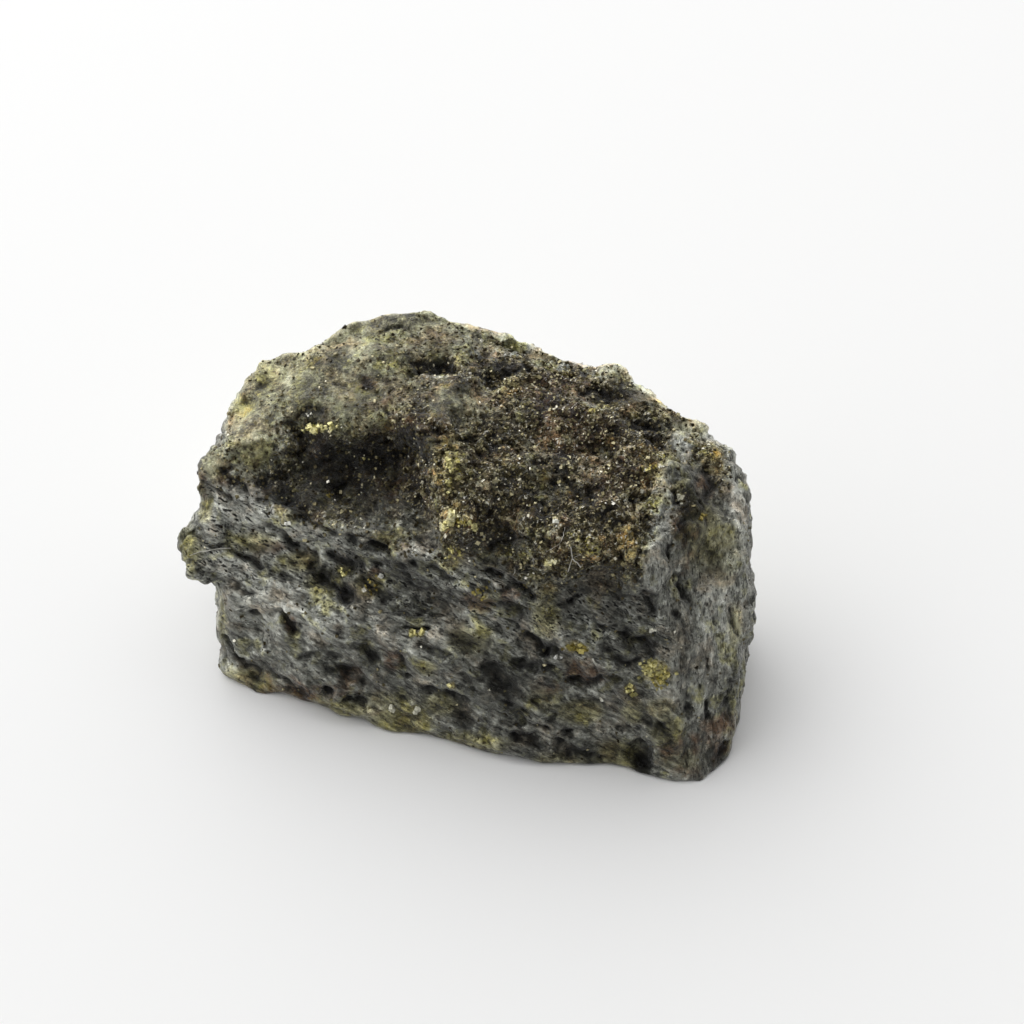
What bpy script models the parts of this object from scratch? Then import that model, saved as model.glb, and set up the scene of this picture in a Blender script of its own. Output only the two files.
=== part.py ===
"""Rough pyrite: one lump of fine-grained, laminated pyrite, broken on every side.

It rests on its flattest face. Every length is in millimetres until the last step, which makes the mesh
metres. +X runs along the length of the lump, -Y is its front and +Z is up. Three blocks make the body:
a head at the left, a head at the right and a slab along the front. Facets, hollows, lumps and creases
then shape it, and chips and the edges of the laminae roughen it.
"""

from collections import namedtuple

import bmesh
import bpy
import numpy as np
from mathutils import Vector, noise

NAME = "pyrite_lump"

# Driving dimensions of the finished lump
LENGTH = 28.3
DEPTH = 16.9
HEIGHT = 13.7
METRES_PER_MM = 0.001

# Fineness of the mesh
VOXEL = 0.40
MOST_TRIANGLES = 9200

# How much of the rough underside is cut away to leave the flat that the lump rests on
FOOT_DEPTH = 0.70

# Laminae: upright sheets that run a little across the length, seen as ledges on the steep sides
LAMINA_NORMAL = Vector((-0.20, -0.98, 0.0)).normalized()
LAMINA_PITCH = 1.05
LAMINA_STEP = 0.95
LAMINA_RISE = 0.78  # the share of each pitch that rises slowly, before the edge drops
LAMINA_WANDER = 0.8
LAMINA_WANDER_SIZE = 6.0
LAMINA_END_SHARE = 0.22  # how much of the step is left at the ends, where the sheets are cut across
LAMINA_PATCH_SIZE = 4.5  # ledges come and go over this length
LAMINA_PATCH_MIDDLE, LAMINA_PATCH_LEAST = 0.60, 0.15
STEEP_FROM, STEEP_TO = 0.85, 0.35  # the upward share of the normal where the ledges start and are in full

# Chips: small planes at odd tilts, left where grains broke away
CHIP_SIZES = (3.4, 1.7)
CHIP_TILTS = (0.17, 0.15)
CHIPS_ON_STEEP = 0.30  # the share of the chips' height that is left among the ledges
CHIP_SEED = 7.3
SWELL_SIZE = 5.0
SWELL_HEIGHT = 0.30

FACET_EDGE = 1 / 3  # the outer share of a facet's radii over which it fades out

# Corners of the three blocks, before anything is broken off them
LEFT_HEAD = [
    (-11.6, -3.2, -0.6),
    (-11.8, 2.0, -0.6),
    (-8.0, 6.2, -0.6),
    (2.0, 7.6, -0.6),
    (2.0, -5.0, -0.6),
    (-12.5, -2.6, 6.5),
    (-12.9, 1.0, 7.5),
    (-12.2, 4.0, 7.6),
    (-8.2, 8.0, 8.0),
    (1.0, 8.9, 8.0),
    (-13.2, -1.2, 10.6),
    (-12.4, 2.3, 11.6),
    (-10.8, 5.0, 12.4),
    (-7.9, 7.2, 12.7),
    (-5.4, 8.6, 13.7),
    (-3.2, 8.9, 13.8),
    (0.4, 8.5, 13.4),
    (-10.8, -0.4, 11.4),
    (-7.0, 1.1, 12.7),
    (-1.2, 1.2, 13.5),
    (-10.9, -1.7, 9.3),
    (-6.6, -2.1, 8.8),
    (-1.4, -2.4, 8.6),
]
RIGHT_HEAD = [
    (-1.5, -3.4, -0.6),
    (10.5, -6.3, -0.6),
    (15.8, -6.2, -0.6),
    (14.6, 3.2, -0.6),
    (7.0, 7.0, -0.6),
    (-1.5, 7.6, -0.6),
    (15.4, -1.0, 5.0),
    (15.6, -4.4, 2.0),
    (14.6, 3.4, 5.5),
    (7.2, 8.4, 7.0),
    (-1.5, 8.9, 8.0),
    (-1.3, 8.6, 13.4),
    (4.2, 8.1, 12.8),
    (7.0, 8.3, 12.4),
    (10.3, 5.9, 12.2),
    (12.6, 4.9, 11.6),
    (14.0, 3.3, 10.9),
    (14.9, 0.1, 10.1),
    (-1.3, 1.2, 13.4),
    (-0.2, -2.0, 12.2),
    (0.9, -3.7, 10.9),
    (5.6, -4.5, 11.2),
    (9.6, -3.0, 11.7),
    (10.7, -3.3, 7.0),
    (0.4, -3.4, 8.0),
]
FRONT_SLAB = [
    (-10.9, -6.6, -0.6),
    (-8.2, -7.2, -0.6),
    (2.0, -8.1, -0.6),
    (7.0, -8.1, -0.6),
    (14.5, -7.8, -0.6),
    (15.9, -6.3, -0.6),
    (14.6, -2.0, -0.6),
    (-11.4, 1.0, -0.6),
    (-12.0, -5.5, 0.6),
    (-11.6, -4.7, 4.0),
    (-12.6, -3.0, 8.0),
    (-12.6, -1.5, 9.9),
    (-9.1, -2.1, 9.7),
    (-5.6, -2.9, 9.2),
    (-1.4, -3.2, 8.8),
    (5.1, -4.9, 7.6),
    (8.2, -5.6, 5.3),
    (12.4, -6.2, 2.0),
    (-6.6, -5.4, 4.8),
    (3.0, -6.7, 3.6),
    (-11.0, 0.5, 8.6),
    (0.0, 0.0, 7.6),
    (8.0, -2.0, 4.6),
]
BLOCKS = (LEFT_HEAD, RIGHT_HEAD, FRONT_SLAB)

# A plane that the surface is cut back to, around its centre
Facet = namedtuple("Facet", "name centre radii normal")
# A hollow or a lump: the surface moves by push at the centre, and less towards the rim
Dent = namedtuple("Dent", "name centre radii push")
# A groove or a rib along a route
Crease = namedtuple("Crease", "name route width push")

FACETS = [
    Facet("back left break", (-8.5, 6.6, 6.0), (5.0, 4.0, 6.0), (-0.55, 0.82, 0.10)),
    Facet("back right break", (6.0, 7.4, 6.0), (6.0, 4.0, 6.0), (0.30, 0.93, 0.15)),
]

DENTS = [
    Dent("left hollow", (-6.2, -0.6, 10.8), (5.6, 2.6, 2.8), (0.0, 0.9, -0.7)),
    Dent("cave at the rib", (-3.0, 0.0, 11.3), (2.0, 2.2, 2.0), (0.1, 1.1, -0.4)),
    Dent("right recess", (7.4, -4.2, 8.8), (3.4, 2.8, 2.6), (0.1, 1.0, -0.4)),
    Dent("nub", (-12.3, -3.6, 7.0), (2.2, 2.8, 2.0), (-1.35, -0.75, 0.0)),
    Dent("right bump", (15.2, 0.0, 5.4), (1.2, 1.6, 1.3), (0.55, 0.1, 0.0)),
    Dent("back scoop", (1.5, 8.6, 6.0), (4.5, 3.0, 3.6), (0.0, -1.3, 0.2)),
    Dent("left side dent", (-12.6, 1.6, 6.5), (2.5, 3.2, 3.0), (0.8, 0.0, 0.0)),
    Dent("dip below the left dome", (-9.2, 6.8, 12.9), (1.3, 2.6, 1.5), (0.2, -0.4, -0.35)),
    Dent("top dent, left", (-2.2, 4.9, 13.4), (1.5, 1.2, 1.3), (0.0, 0.1, -0.75)),
    Dent("top dent, back", (1.2, 6.4, 13.2), (2.1, 1.1, 1.3), (0.0, 0.1, -0.70)),
    Dent("top dent, right", (6.0, 5.8, 12.6), (2.2, 1.1, 1.2), (0.0, 0.1, -0.65)),
    Dent("top dent, far right", (8.9, 4.3, 12.3), (1.8, 1.2, 1.2), (0.0, 0.0, -0.65)),
    Dent("top hollow, middle", (6.4, 1.6, 12.3), (2.2, 1.5, 1.3), (0.0, 0.1, -0.60)),
    Dent("hollow beside the rib", (3.1, -3.6, 11.6), (1.7, 1.6, 1.6), (0.1, 0.5, -0.55)),
    Dent("pit in the front", (-3.0, -3.9, 8.4), (0.9, 0.9, 0.9), (0.0, 0.9, -0.4)),
    Dent("pit at the foot", (10.8, -7.2, 0.7), (0.9, 1.1, 0.8), (0.0, 0.9, 0.0)),
]

CREASES = [
    Crease(
        "central rib",
        [(-1.2, 1.2, 13.4), (0.0, -1.8, 12.4), (0.9, -3.9, 11.2), (0.8, -4.6, 9.2)],
        1.9,
        (-0.35, -0.5, 0.35),
    ),
    Crease(
        "groove by the rib",
        [(3.6, 1.6, 12.8), (4.6, -0.4, 12.4), (6.0, -2.4, 12.0)],
        1.0,
        (0.0, 0.0, -0.6),
    ),
    Crease(
        "corner ridge",
        [(9.6, -3.0, 11.7), (10.7, -3.5, 7.2), (12.0, -5.4, 3.4), (13.0, -6.6, 0.8)],
        1.2,
        (0.1, -0.55, 0.0),
    ),
    Crease(
        "side scoop",
        [(12.2, -1.4, 9.5), (13.0, -2.4, 5.5), (14.2, -3.8, 2.0)],
        1.8,
        (-0.65, 0.25, 0.0),
    ),
    Crease(
        "lip of the slab",
        [
            (-12.5, -1.3, 9.8),
            (-9.3, -2.1, 9.3),
            (-5.6, -3.0, 8.9),
            (-1.2, -3.4, 8.7),
            (2.4, -4.2, 8.3),
            (5.5, -4.9, 7.6),
            (8.4, -5.5, 5.4),
            (12.2, -6.2, 2.6),
        ],
        1.3,
        (0.0, -0.45, 0.35),
    ),
    Crease(
        "groove below the lip",
        [(-9.7, -3.3, 7.3), (-6.9, -3.9, 7.0), (-3.0, -4.5, 6.7), (1.6, -5.4, 6.0), (4.7, -5.9, 5.0)],
        1.5,
        (0.0, 0.75, 0.0),
    ),
    Crease(
        "swelling on the front",
        [(-10.7, -4.6, 4.6), (-6.6, -5.5, 4.8), (-2.5, -5.8, 4.8), (1.2, -6.2, 4.3)],
        1.8,
        (0.0, -0.45, 0.15),
    ),
]


def clear_scene():
    for obj in list(bpy.data.objects):
        bpy.data.objects.remove(obj)


def convex_block(points):
    """The closed hull of the corner points."""
    bm = bmesh.new()
    for point in points:
        bm.verts.new(point)
    hull = bmesh.ops.convex_hull(bm, input=bm.verts)
    bmesh.ops.delete(bm, geom=hull["geom_interior"], context="VERTS")
    bmesh.ops.recalc_face_normals(bm, faces=bm.faces)
    mesh = bpy.data.meshes.new(NAME)
    bm.to_mesh(mesh)
    bm.free()
    return mesh


def applied(obj, kind, **settings):
    """Adds a modifier with these settings and makes its result the object's mesh."""
    modifier = obj.modifiers.new(kind, kind)
    for name, value in settings.items():
        setattr(modifier, name, value)
    graph = bpy.context.evaluated_depsgraph_get()
    mesh = bpy.data.meshes.new_from_object(obj.evaluated_get(graph))
    obj.modifiers.clear()
    obj.data = mesh


def read_points(obj):
    points = np.empty(len(obj.data.vertices) * 3)
    obj.data.vertices.foreach_get("co", points)
    return points.reshape(-1, 3)


def write_points(obj, points):
    obj.data.vertices.foreach_set("co", points.ravel())
    obj.data.update()


def read_normals(obj):
    normals = np.empty(len(obj.data.vertices) * 3)
    obj.data.vertices.foreach_get("normal", normals)
    return normals.reshape(-1, 3)


def fade(distance):
    """1 at distance 0, falling smoothly to 0 at distance 1 and beyond."""
    inside = np.clip(1 - distance**2, 0, 1)
    return inside**2


def cut_facet(points, facet):
    normal = np.array(facet.normal) / np.linalg.norm(facet.normal)
    offset = points - facet.centre
    proud = np.maximum(offset @ normal, 0)
    reach = np.linalg.norm(offset / facet.radii, axis=1)
    share = np.clip((1 - reach) / FACET_EDGE, 0, 1)
    return points - (proud * share)[:, None] * normal


def push_dent(points, dent):
    reach = np.linalg.norm((points - dent.centre) / np.array(dent.radii), axis=1)
    return points + fade(reach)[:, None] * dent.push


def push_crease(points, crease):
    nearest = np.full(len(points), np.inf)
    for start, end in zip(crease.route, crease.route[1:]):
        start, run = np.array(start), np.subtract(end, start)
        along = np.clip((points - start) @ run / (run @ run), 0, 1)
        distance = np.linalg.norm(points - start - along[:, None] * run, axis=1)
        nearest = np.minimum(nearest, distance)
    return points + fade(nearest / crease.width)[:, None] * crease.push


def shaped(points):
    for facet in FACETS:
        points = cut_facet(points, facet)
    for dent in DENTS:
        points = push_dent(points, dent)
    for crease in CREASES:
        points = push_crease(points, crease)
    return points


def lamina_step(point, normal):
    """How far a lamina's broken edge stands out here: a slow rise and a sudden drop, once each pitch."""
    steep = min(max((STEEP_FROM - abs(normal.z)) / (STEEP_FROM - STEEP_TO), 0), 1)
    broad = LAMINA_END_SHARE + (1 - LAMINA_END_SHARE) * normal.dot(LAMINA_NORMAL) ** 2
    patch = LAMINA_PATCH_MIDDLE + noise.noise(point / LAMINA_PATCH_SIZE)
    patch = min(max(patch, LAMINA_PATCH_LEAST), 1)
    wander = LAMINA_WANDER * noise.fractal(point / LAMINA_WANDER_SIZE, 1.0, 2.0, 2)
    across = point.dot(LAMINA_NORMAL) / LAMINA_PITCH + wander
    share = across - np.floor(across)
    tooth = min(share / LAMINA_RISE, (1 - share) / (1 - LAMINA_RISE)) - 0.5
    return LAMINA_STEP * tooth * steep * broad * patch


def chip(point, size, tilt):
    """The height of a small plane at its own tilt, one for each Voronoi cell."""
    cell = noise.voronoi(point / size)[1][0]
    lean = noise.cell_vector(cell * CHIP_SEED)
    return size * tilt * lean.dot(point / size - cell)


def roughened(points, normals):
    moves = np.empty(len(points))
    for i, (point, normal) in enumerate(zip(map(Vector, points), map(Vector, normals))):
        swell = SWELL_HEIGHT * noise.fractal(point / SWELL_SIZE, 1.0, 2.0, 3)
        chips = sum(chip(point, *pair) for pair in zip(CHIP_SIZES, CHIP_TILTS))
        smooth = 1 - (1 - CHIPS_ON_STEEP) * (1 - abs(normal.z))
        moves[i] = swell + chips * smooth + lamina_step(point, normal)
    return points + moves[:, None] * normals


def flatten_foot(obj):
    """Cuts the rough underside off on one level, which is the face that the lump rests on."""
    bm = bmesh.new()
    bm.from_mesh(obj.data)
    level = min(vert.co.z for vert in bm.verts) + FOOT_DEPTH
    everything = bm.verts[:] + bm.edges[:] + bm.faces[:]
    cut = bmesh.ops.bisect_plane(
        bm, geom=everything, plane_co=(0, 0, level), plane_no=(0, 0, 1), clear_inner=True
    )
    rim = [item for item in cut["geom_cut"] if isinstance(item, bmesh.types.BMEdge)]
    bmesh.ops.edgeloop_fill(bm, edges=rim)
    bmesh.ops.triangulate(bm, faces=bm.faces)
    bmesh.ops.recalc_face_normals(bm, faces=bm.faces)
    bm.to_mesh(obj.data)
    bm.free()


def drop_crumbs(obj):
    """Keeps the largest connected body only: roughening and cutting leave crumbs beside it."""
    bm = bmesh.new()
    bm.from_mesh(obj.data)
    waiting = set(bm.verts)
    bodies = []
    while waiting:
        body = {waiting.pop()}
        edge_of_body = list(body)
        while edge_of_body:
            vert = edge_of_body.pop()
            near = {edge.other_vert(vert) for edge in vert.link_edges} - body
            body |= near
            edge_of_body += near
        waiting -= body
        bodies.append(body)
    bodies.sort(key=len)
    for crumb in bodies[:-1]:
        bmesh.ops.delete(bm, geom=list(crumb), context="VERTS")
    bm.to_mesh(obj.data)
    bm.free()


def fit_to_size(points):
    """Scales to the driving dimensions, in metres, with the origin under the middle on the base."""
    low, high = points.min(axis=0), points.max(axis=0)
    middle = np.array([*(low + high)[:2] / 2, low[2]])
    return (points - middle) / (high - low) * (LENGTH, DEPTH, HEIGHT) * METRES_PER_MM


def pyrite_material():
    material = bpy.data.materials.new(NAME)
    material.use_nodes = True
    shader = material.node_tree.nodes["Principled BSDF"]
    shader.inputs["Base Color"].default_value = (0.10, 0.095, 0.065, 1.0)
    shader.inputs["Metallic"].default_value = 0.55
    shader.inputs["Roughness"].default_value = 0.50
    return material


def main():
    clear_scene()
    collection = bpy.data.collections.new(NAME)
    bpy.context.scene.collection.children.link(collection)
    lump, *others = [bpy.data.objects.new(NAME, convex_block(corners)) for corners in BLOCKS]
    for block in (lump, *others):
        collection.objects.link(block)
    for other in others:
        applied(lump, "BOOLEAN", operation="UNION", solver="EXACT", object=other)
        bpy.data.objects.remove(other)
    applied(lump, "REMESH", mode="VOXEL", voxel_size=VOXEL)
    write_points(lump, shaped(read_points(lump)))
    applied(lump, "REMESH", mode="VOXEL", voxel_size=VOXEL)
    write_points(lump, roughened(read_points(lump), read_normals(lump)))
    applied(lump, "REMESH", mode="VOXEL", voxel_size=VOXEL)
    drop_crumbs(lump)
    triangles = 2 * len(lump.data.polygons)
    applied(lump, "DECIMATE", ratio=MOST_TRIANGLES / triangles, use_collapse_triangulate=True)
    flatten_foot(lump)
    drop_crumbs(lump)
    write_points(lump, fit_to_size(read_points(lump)))
    lump.data.materials.append(pyrite_material())


main()
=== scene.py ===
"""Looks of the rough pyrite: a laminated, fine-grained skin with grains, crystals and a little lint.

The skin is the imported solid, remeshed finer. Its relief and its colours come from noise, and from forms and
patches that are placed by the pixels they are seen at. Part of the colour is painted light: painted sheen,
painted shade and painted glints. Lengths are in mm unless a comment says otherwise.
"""

import math
from functools import reduce

import bmesh
import bpy
import numpy as np
from mathutils import Matrix, Vector, kdtree, noise
from mathutils.bvhtree import BVHTree


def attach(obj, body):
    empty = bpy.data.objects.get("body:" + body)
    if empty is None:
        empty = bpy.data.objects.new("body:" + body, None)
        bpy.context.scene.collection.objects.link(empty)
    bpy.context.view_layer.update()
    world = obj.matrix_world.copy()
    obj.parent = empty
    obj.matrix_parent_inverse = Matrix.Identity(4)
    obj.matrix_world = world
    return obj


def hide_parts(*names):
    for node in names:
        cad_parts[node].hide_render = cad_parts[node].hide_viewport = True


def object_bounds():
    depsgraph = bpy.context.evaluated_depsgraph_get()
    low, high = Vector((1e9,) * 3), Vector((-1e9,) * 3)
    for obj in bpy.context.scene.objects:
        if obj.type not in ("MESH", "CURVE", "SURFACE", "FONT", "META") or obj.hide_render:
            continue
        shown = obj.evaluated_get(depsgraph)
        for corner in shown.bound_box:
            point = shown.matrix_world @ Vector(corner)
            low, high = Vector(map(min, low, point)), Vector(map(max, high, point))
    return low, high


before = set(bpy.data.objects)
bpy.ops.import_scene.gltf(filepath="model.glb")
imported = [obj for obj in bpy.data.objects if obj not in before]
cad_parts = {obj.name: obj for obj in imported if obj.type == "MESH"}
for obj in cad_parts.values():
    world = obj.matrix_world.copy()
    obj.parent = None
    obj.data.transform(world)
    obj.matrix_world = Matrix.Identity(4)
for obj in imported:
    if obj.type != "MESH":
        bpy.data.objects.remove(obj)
cad_low, cad_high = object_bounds()

MM = 0.001  # in metres
NODE = "pyrite_lump"
BODY = "root"
BOX_LOW, BOX_HIGH = (np.array(corner) / MM for corner in (cad_low, cad_high))
NOISE_SEED = 2  # keeps vector noise the same from run to run

# Camera, as the photograph was taken
AZIMUTH = math.radians(12.5)
ELEVATION = math.radians(46)
DISTANCE = 118
HALF_VIEW = math.radians(12)
AIM = Vector((-0.306, -0.857, 6.5))  # this point of the stone shows at AIM_PIXEL
AIM_PIXEL = (468, 545)
FRAME_SIDE = 1024  # pixels
SENSOR = 36
CLIP = (0.01, 20)  # metres
SEARCH_STEPS = 30
SEARCH_REACH = 0.5  # share of the way to AIM_PIXEL that a line of sight may move to meet the stone
PATCH_EDGE = 1.5  # half-sizes from a patch's middle to where it has faded out

# Light, in metres and watts: a room that is bright behind and to the left and dim at the viewer, and a window
ROOM = 0.50
ROOM_COLOUR = (1.0, 1.0, 0.995, 1)
ROOM_DIM = -0.40
ROOM_DIM_EDGE = (0.30, 0.85)  # how nearly a direction is the viewer's where the dimming starts and is full
ROOM_GLOW = 1.25
ROOM_GLOW_EDGE = (-0.60, 1.0)
ROOM_BRIGHT = Vector((-0.80, 0.55, 0.30)).normalized()
WINDOW_PLACE = (-0.20, 0.165, 0.18)
WINDOW_SIZE = 0.38
WINDOW_POWER = 0.34
FLOOR_REACH = 2.0
PAPER = (0.86, 0.86, 0.86)
PAPER_ROUGHNESS = 0.9

# Skin
VOXEL = 0.12
MOST_TRIANGLES = 198000
WELD_DISTANCE = 0.001
BOX_MARGIN = 0.0003
SMOOTH_PASSES = 10  # take the solid's facets and the voxels' steps off
WIDE_PASSES = 60  # average the normals that tell the stone's sides apart
LOCAL_PASSES = 14  # average the height that hollows are measured from
FOOT = (0.15, 0.60)  # heights over which the relief comes in above the flat underside

# Directions of the rock's threads and flakes, and how much features are drawn out along them
ALONG_FRONT = Vector((0.94, -0.13, -0.32)).normalized()
ALONG_SIDE = Vector((0.13, -0.42, -0.90)).normalized()
ALONG_FLAKES = Vector((0.62, 0.72, 0.30)).normalized()
STRETCH = 0.66

# Relief. A row gives the height or depth of a feature and its size, then for dents the values of the noise
# at which they begin and are whole, and then a shift that keeps its noise apart from the others
OCTAVES = (1.0, 2.0, 3)  # how fast a wandering noise's octaves fade and shrink, and their number
LUMP_GAIN = 2.5
LUMP_MEAN = 0.6
CHIP_SEED = 7.3
CHIP_TILT = 0.10
CHIP_STEP = 0.35  # how much chips differ in height, beside their tilt
TOP_WARP = (0.5, 0.7)  # strength and size of the noise that bends the features
TOP_LUMPS = (0.20, 1.3, (9, 2, 6))
TOP_SMALL_LUMPS = (0.06, 0.50, (2, 8, 3))
TOP_CHIPS = ((0.90, (0, 0, 0)), (0.40, (4, 1, 7)))  # size and shift
TOP_DENTS = (0.22, 1.1, (0.30, 0.46), (3, 7, 1))
SIDE_WARP = (0.35, 0.9)
SIDE_SWELLS = (0.22, 2.2, (5, 2, 8))
SWELL_SHARE = 0.7  # of the stretch along the threads
SIDE_LUMPS = (0.17, 1.0, (6, 4, 1))
LUMP_SHARE = 0.8
SIDE_DENTS = (0.16, 0.80, (0.32, 0.50), (1, 9, 4))
THREAD_HEIGHT = 0.02
FINE_THREAD_HEIGHT = 0.04  # added high up
THREAD_SIZE = 0.30
FINE_PIT_DEPTH = 0.08  # high up
FINE_PITS = (0.34, (0.24, 0.38))
SHEETS_ACROSS = Vector((-0.03, -0.90, 0.42)).normalized()
SHEET_PITCH = 1.3
SHEET_STEP = 0.20
SHEET_DROP = 0.20  # the share of each pitch in which the step drops
SHEET_WANDER = 0.9  # in pitches
SHEET_WANDER_SIZE = 3.5
SHEET_PATCH_SIZE = 3.0  # the steps come and go over this length
SHEET_PATCH_EDGE = (0.0, 0.40)
CALM_OLIVE = 0.80  # share of the grainy relief that is worn off the olive dome
CALM_WORN = 0.6  # the same on the worn back
FORM_STRENGTH = 0.85
FORM_EDGE = 1.3  # half-widths from a form's middle to where it has faded out
RAGGED = 0.9  # widest form whose edge wanders in step with its width
RAGGED_NOISE = ((0.45, 0.8), (0.25, 0.3))  # strength and size of that wander

# Zones: the grainy top, the threaded front, and the end faces, whose threads run down
FINE_FROM = (3.0, 7.0)  # heights between which the fine threads come in
WEAR_AND_SHEEN_TURN = (0.15, 0.55)  # how far a surface is turned to the back, where its grain wears smooth and it gets painted sheen
BACK_PAINTED_SHEEN = 0.90  # how pale the painted sheen on the skin turned to the back is
WOBBLE_SIZE = 2.2  # of the wandering of the zones' borders
TOP_BORDER = (-0.9, 0.9)  # height above the slab's edge
TOP_WOBBLE = 0.9
RIGHT_BORDER = (-0.5, 0.4)  # distance past the corner ridge
RIGHT_WOBBLE = 0.5
RIGHT_TURN = (0.20, 0.45)  # how far a surface is turned to the right
LEFT_BORDER = (-8.5, -10.5)  # place along the length
LEFT_TURN = (0.45, 0.75)

# Grains: small ones strewn over the skin
GRAIN_SEED = 20
GRAIN_COUNT = 9000
GRAIN_SIZES = (0.06, 0.17)
GRAIN_SMALLNESS = 1.5  # over 1, small grains outnumber large ones
GRAIN_LIFT = (-0.45, -0.12)  # height of a grain's middle over the skin, as a share of its size
GRAINS_FROM = 0.25  # height of the lowest
GRAINS_ON_SIDES = 0.03  # as a share of those on the top
GRAINS_LOST = {"olive": 0.95, "dark": 0.85, "worn": 0.95}  # share that is missing there
GRAIN_UNEVEN = 0.3
CORNER_JITTER = 0.10

# Clusters of crystals, as shares of a cluster's or crystal's size
CLUSTER_SPREAD = 0.28
CLUSTER_SINK = 0.12
CLUSTER_SIZES = (0.6, 1.25)
CLUSTER_UNEVEN = 0.25
CLUSTER_TINTS = 0.12  # how far a crystal's tint is from the cluster's
CUBE = np.array([[x, y, z] for x in (-1, 1) for y in (-1, 1) for z in (-1, 1)], float) / 2
CUBE_FACES = np.array(
    [[0, 1, 3, 2], [4, 6, 7, 5], [0, 4, 5, 1], [2, 3, 7, 6], [0, 2, 6, 4], [1, 5, 7, 3]]
)

# Lint, whose thread is a tube of a few sides
STRAND_SIDES = 5
STRAND_LIFT = 0.06
STRAND_POINTS = 6  # to each point of the path
STRAND_PASSES = 3
LINT_COLOUR = (0.62, 0.60, 0.54)
LINT_ROUGHNESS = 0.6

# Colours by tone, from dark to light
GREY = [
    (0.30, (0.018, 0.018, 0.015)), (0.44, (0.098, 0.098, 0.087)), (0.57, (0.258, 0.259, 0.235)),
    (0.74, (0.620, 0.622, 0.580)),
]
# Painted sheen: the paler colours given to the sheen patches and to the skin turned to the back
PAINTED_SHEEN_RAMP = [
    (0.28, (0.038, 0.038, 0.035)), (0.42, (0.240, 0.241, 0.220)), (0.56, (0.520, 0.522, 0.484)),
    (0.74, (0.860, 0.860, 0.810)),
]
WARM = [
    (0.34, (0.008, 0.006, 0.004)), (0.46, (0.042, 0.035, 0.022)), (0.56, (0.140, 0.124, 0.082)),
    (0.67, (0.560, 0.530, 0.390)),
]
OLIVE = [
    (0.30, (0.022, 0.021, 0.013)), (0.42, (0.094, 0.088, 0.056)), (0.54, (0.235, 0.228, 0.150)),
    (0.70, (0.460, 0.450, 0.325)),
]
RUST = [(0.38, (0.012, 0.006, 0.004)), (0.62, (0.190, 0.100, 0.048))]
BRASS = [(0.34, (0.024, 0.017, 0.007)), (0.50, (0.290, 0.240, 0.110)), (0.66, (0.820, 0.750, 0.450))]
# Painted shade: the near-black of the shade patches
PAINTED_SHADE_BLACK = (0.005, 0.005, 0.0045, 1)
# Factors that a noise turns the colour by: all over, and more strongly on the top
TINT = [
    (0.32, (1.08, 0.96, 0.82)), (0.45, (1.00, 1.00, 0.96)), (0.54, (0.98, 1.00, 0.98)),
    (0.66, (1.10, 1.06, 0.64)),
]
HUE = [
    (0.36, (1.32, 0.90, 0.64)), (0.45, (1.12, 0.98, 0.86)), (0.54, (1.00, 1.06, 1.16)),
    (0.64, (1.32, 1.28, 0.58)),
]
HUE_SHARE = (0.9, 0.25)  # on the rest of the top, and on its olive dome
OCHRE_FACTOR = (1.06, 0.99, 0.64, 1)
# Painted sheen on the olive dome: how much lighter it is under the sheen patches
OLIVE_PAINTED_SHEEN_FACTOR = (2.1, 2.1, 2.2, 1)
# Painted glints: colours of the flakes that glint, by their tint
PAINTED_GLINT_RAMP = [(0.3, (0.86, 0.74, 0.42)), (0.8, (0.95, 0.94, 0.84))]
# Colours of the crystals by their tint
GRAIN_COLOURS = [
    (0.00, (0.020, 0.015, 0.009)), (0.50, (0.095, 0.080, 0.044)), (0.80, (0.260, 0.230, 0.125)),
    (0.95, (0.560, 0.510, 0.320)), (1.00, (0.900, 0.880, 0.780)),
]
BRASSY_COLOURS = [
    (0.00, (0.180, 0.125, 0.030)), (0.35, (0.420, 0.350, 0.100)), (0.60, (0.620, 0.580, 0.270)),
    (0.80, (0.820, 0.760, 0.380)), (1.00, (0.900, 0.870, 0.640)),
]
PALE_COLOURS = [(0.0, (0.60, 0.57, 0.40)), (0.6, (0.85, 0.84, 0.70)), (1.0, (0.98, 0.98, 0.94))]
# The dark film on the crystals
FILM = (0.030, 0.022, 0.012, 1)
FILM_EDGE = (0.3, 0.7)
FILM_ROUGHENS = (-0.08, 0.15)  # added where there is none, and where it is full
# Material, colours by tint, roughness, how metallic
CRYSTAL_FINISHES = {
    "pyrite_grains": ("pyrite_grain", GRAIN_COLOURS, 0.30, 0.9),
    "brassy_crystals": ("brassy_crystal", BRASSY_COLOURS, 0.28, 0.9),
    "pale_crystals": ("pale_crystal", PALE_COLOURS, 0.25, 0.0),
}
# Values that the skin carries for its material
SKIN_FIELDS = "granular side relief form worn fine brass rust olive dark sheen ochre".split()

# Noises of the materials: features to a mm, detail, roughness, and for some a shift to keep them apart
NOISES = {
    "fibre tone": (4.0, 8.0, 0.75),
    "grain tone": (2.6, 8.0, 0.82),
    "blotches": (0.55, 3.0, 0.6, 31, 3, 9),
    "streaks": (1.1, 2.0, 0.5, 11, 7, 2),
    "threads": (11.0, 4.0, 0.7),
    "ticks": (7.0, 2.0, 0.5, 4, 15, 8),
    "bends": (1.6, 3.0, 0.5),
    "tint": (0.7, 4.0, 0.65, 17, 23, 5),
    "hue": (0.75, 5.0, 0.7, 41, 2, 15),
    "rust": (0.9, 5.0, 0.65, 13, 5, 3),
    "brass": (2.6, 5.0, 0.7, 1, 8, 21),
    "crowds": (1.3, 3.0, 0.6, 7, 19, 33),
    "pits": (5.0, 2.0, 0.6, 2, 6, 9),
    "gloss": (5.0, 3.0, 0.6),
    "side grit": (9.0, 5.0, 0.75),
    "top grit": (8.0, 5.0, 0.75),
    "film": (5.0, 4.0, 0.7),
    "crystal grit": (14.0, 3.0, 0.6),
}
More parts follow.
